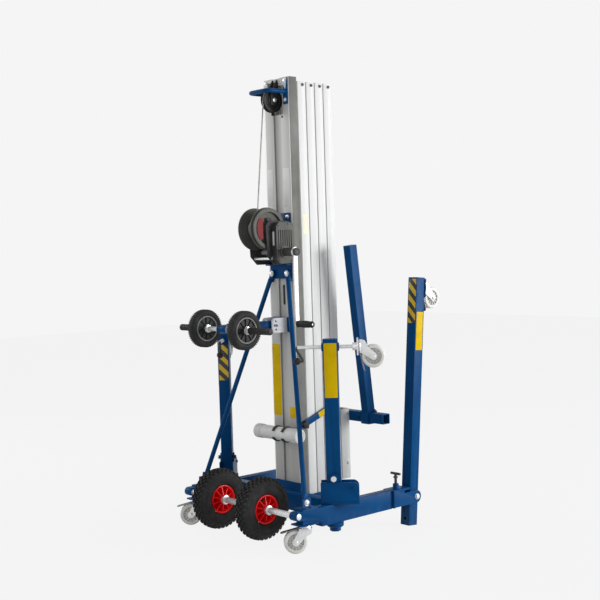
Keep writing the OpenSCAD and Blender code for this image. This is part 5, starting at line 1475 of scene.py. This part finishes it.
FORK_LEAN = math.radians(6.6)
base_paths = []
for _, sign in SIDES:
    for y in (-0.1483, -0.1043):
        base_paths.append([Vector((sign * 0.333, y, z)) for z in (0.100, 0.170)])
    base_paths.append([Vector((sign * 0.333, y, 0.097)) for y in (-0.146, -0.107)])
    base_paths.append([Vector((sign * 0.0333, -0.1043, z)) for z in (0.862, 0.918)])
    base_paths.append(ring_path((sign * 0.062, -0.1035, 1.882), (0, 1, 0), 0.0092))
base_paths.append([Vector((x, -0.1043, 1.144)) for x in (-0.067, 0.067)])
base_paths.append(loop_path(along((0, -0.1045, 0.890), (0, -1, 0)), 0.0202, 0.0202, 0))
faces = welded("frame_welds", "base", base_paths)
for side, sign in SIDES:
    stab, run, across = stab_axes(side, sign)
    foot = Vector((stab.x, stab.y, 0.1815))
    cheeks = [[foot + run * s + across * (w * 0.0326) for s in (-0.050, 0.098)] for w in (-1, 1)]
    faces += welded(f"stab_bracket_{side}_welds", f"stab_bracket_{side}", cheeks)
    nut = Vector((stab.x, stab.y, joint_at(f"jack_turn_{side}").z))
    rings = [ring_path(nut + run * s, run, 0.0172) for s in (-0.0302, 0.0302)]
    faces += welded(f"stab_arm_{side}_welds", f"stab_arm_{side}", rings, Size=0.0022)
    shoe = Vector((sign * 0.185, 0.2237, 0.464))
    lean = Matrix.Translation(shoe + Vector((0, -0.001, 0))) @ Matrix.Rotation(FORK_LEAN, 4, "X")
    faces += welded(f"fork_{side}_welds", f"fork_{side}", [loop_path(lean, 0.0205, 0.0230, 0.0292)])
print("weld bead faces:", faces)

# %% [markdown]
# Flat plates are stuck to the mast, the legs and the stabilisers. They are left bare. Yellow and black
# diagonal bands mark the parts that swing out, and those follow the plate, so each plate carries a
# UV map in metres and the bands are cut from the sum of its two coordinates.

# %% Banded finish


def banded(name, period):
    """Yellow and black bands, one of each in every `period` metres of the sum."""
    made = Finish(name)
    lookup = made.node("ShaderNodeUVMap")
    lookup.uv_map = "plate"
    spread = made.node("ShaderNodeSeparateXYZ", Vector=lookup.outputs["UV"])
    total = made.math("ADD", spread.outputs["X"], spread.outputs["Y"])
    phase = made.math("FRACT", made.math("DIVIDE", total, period))
    worn = made.noise(55.0, 4.0)
    yellow = made.ramp(worn, ((0.3, (0.50, 0.33, 0.0005)), (0.7, (0.58, 0.385, 0.001))))
    made.colour(made.mix(made.math("GREATER_THAN", phase, 0.5), yellow, (0.016, 0.016, 0.017)))
    made.rough(made.grey_ramp(made.noise(140.0, 3.0), 0.34, 0.46))
    return made.bump(made.noise(300.0, 2.0), 0.00005, 0.5).material


BANDS = banded("hazard_bands", 0.052)
print("banded finish ready")

# %% [markdown]
# A plate is drawn as a rounded rectangle in the plane of the face that carries it: a corner point, two
# edge directions and two lengths. It stands 0.6 mm proud, so its edge casts a thin line.

# %% Plates
SHEET = 0.0006


def rounded(width, height, radius):
    """The outline of a rectangle with round corners."""
    far, top = width - radius, height - radius
    outline = []
    for x, y, start in ((far, top, 0), (radius, top, 90), (radius, radius, 180), (far, radius, 270)):
        for turn in (0, 30, 60, 90):
            a = math.radians(start + turn)
            outline.append((x + radius * math.cos(a), y + radius * math.sin(a)))
    return outline


def plate(name, body, finish, corner, across, upward, width, height, radius=0.003):
    """A thin plate on a face, with a UV map in metres."""
    x, y = Vector(across).normalized(), Vector(upward).normalized()
    place = framed(corner, x, y, x.cross(y))
    mesh = Shape().prism(rounded(width, height, radius), -0.0002, SHEET, place).mesh(name, 0.00015)
    back = place.inverted()
    chart = mesh.uv_layers.new(name="plate")
    for loop in mesh.loops:
        flat = back @ mesh.vertices[loop.vertex_index].co
        chart.data[loop.index].uv = (flat.x, flat.y)
    piece(name, mesh, body, [finish])


UPRIGHT_PLATES = (
    ("mast_plate_long", "base", PLATE_YELLOW, (-0.079, MAST_REAR, 0.490), RIGHTWARD, 0.052, 0.312),
    ("mast_plate_small", "base", PLATE_YELLOW, (0.027, MAST_REAR, 0.485), RIGHTWARD, 0.035, 0.048),
    ("mast_plate_left", "base", PLATE_PALE, (-0.079, MAST_REAR, 1.404), RIGHTWARD, 0.040, 0.156),
    ("mast_plate_right", "base", PLATE_PALE, (0.027, MAST_REAR, 1.394), RIGHTWARD, 0.043, 0.166),
    ("section_plate", "section_2", PLATE_CREAM, (0.082, MAST_REAR + 0.056, 1.276), (0, 1, 0), 0.032, 0.086),
    ("head_slot", "base", BLACK_PLASTIC, (-0.051, MAST_REAR - 0.005, 1.905), RIGHTWARD, 0.071, 0.023),
)
for name, body, finish, corner, across, width, height in UPRIGHT_PLATES:
    plate(name, body, finish, corner, across, UPWARD, width, height)

LOCK_RISE = math.radians(20)
bar = Vector((0, math.cos(LOCK_RISE), math.sin(LOCK_RISE)))
over = Vector((0, -math.sin(LOCK_RISE), math.cos(LOCK_RISE)))
hinge = Vector((0.092, -0.0763, 0.458))
corner = hinge + 0.0915 * bar - 0.012 * over
plate("lock_plate", NODES["transport_lock"]["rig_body"], PLATE_YELLOW, corner, bar, over, 0.0775, 0.024)

LEG_LEAN = math.radians(4.9)
along_leg = Vector((0, math.sin(LEG_LEAN), math.cos(LEG_LEAN)))
outward = Vector((0, math.cos(LEG_LEAN), -math.sin(LEG_LEAN)))
count = len(UPRIGHT_PLATES) + 1
for side, sign in SIDES:
    stab, run, across = stab_axes(side, sign)
    body = f"stab_arm_{side}"
    edge = -sign * across
    corner = stab - 0.030 * run - 0.021 * edge
    plate(f"stab_bands_{side}", body, BANDS, (corner.x, corner.y, 0.632), edge, UPWARD, 0.042, 0.160)
    edge = sign * run
    corner = stab - 0.025 * across - 0.026 * edge
    plate(f"stab_plate_{side}", body, PLATE_YELLOW, (corner.x, corner.y, 0.607), edge, UPWARD, 0.052, 0.222)
    pivot = joint_at(f"leg_fold_{side}")
    foot = Vector((sign * 0.353, pivot.y, pivot.z))
    corner = foot - 0.036 * outward + Vector((-0.021, 0, 0)) + 0.751 * along_leg
    plate(f"leg_bands_{side}", f"leg_{side}", BANDS, corner, RIGHTWARD, along_leg, 0.042, 0.192)
    edge = sign * outward
    corner = foot + Vector((sign * 0.025, 0, 0)) - 0.011 * outward + 0.634 * along_leg - 0.020 * edge
    plate(f"leg_plate_{side}", f"leg_{side}", PLATE_YELLOW, corner, edge, along_leg, 0.040, 0.166)
    count += 4
print("plates:", count)
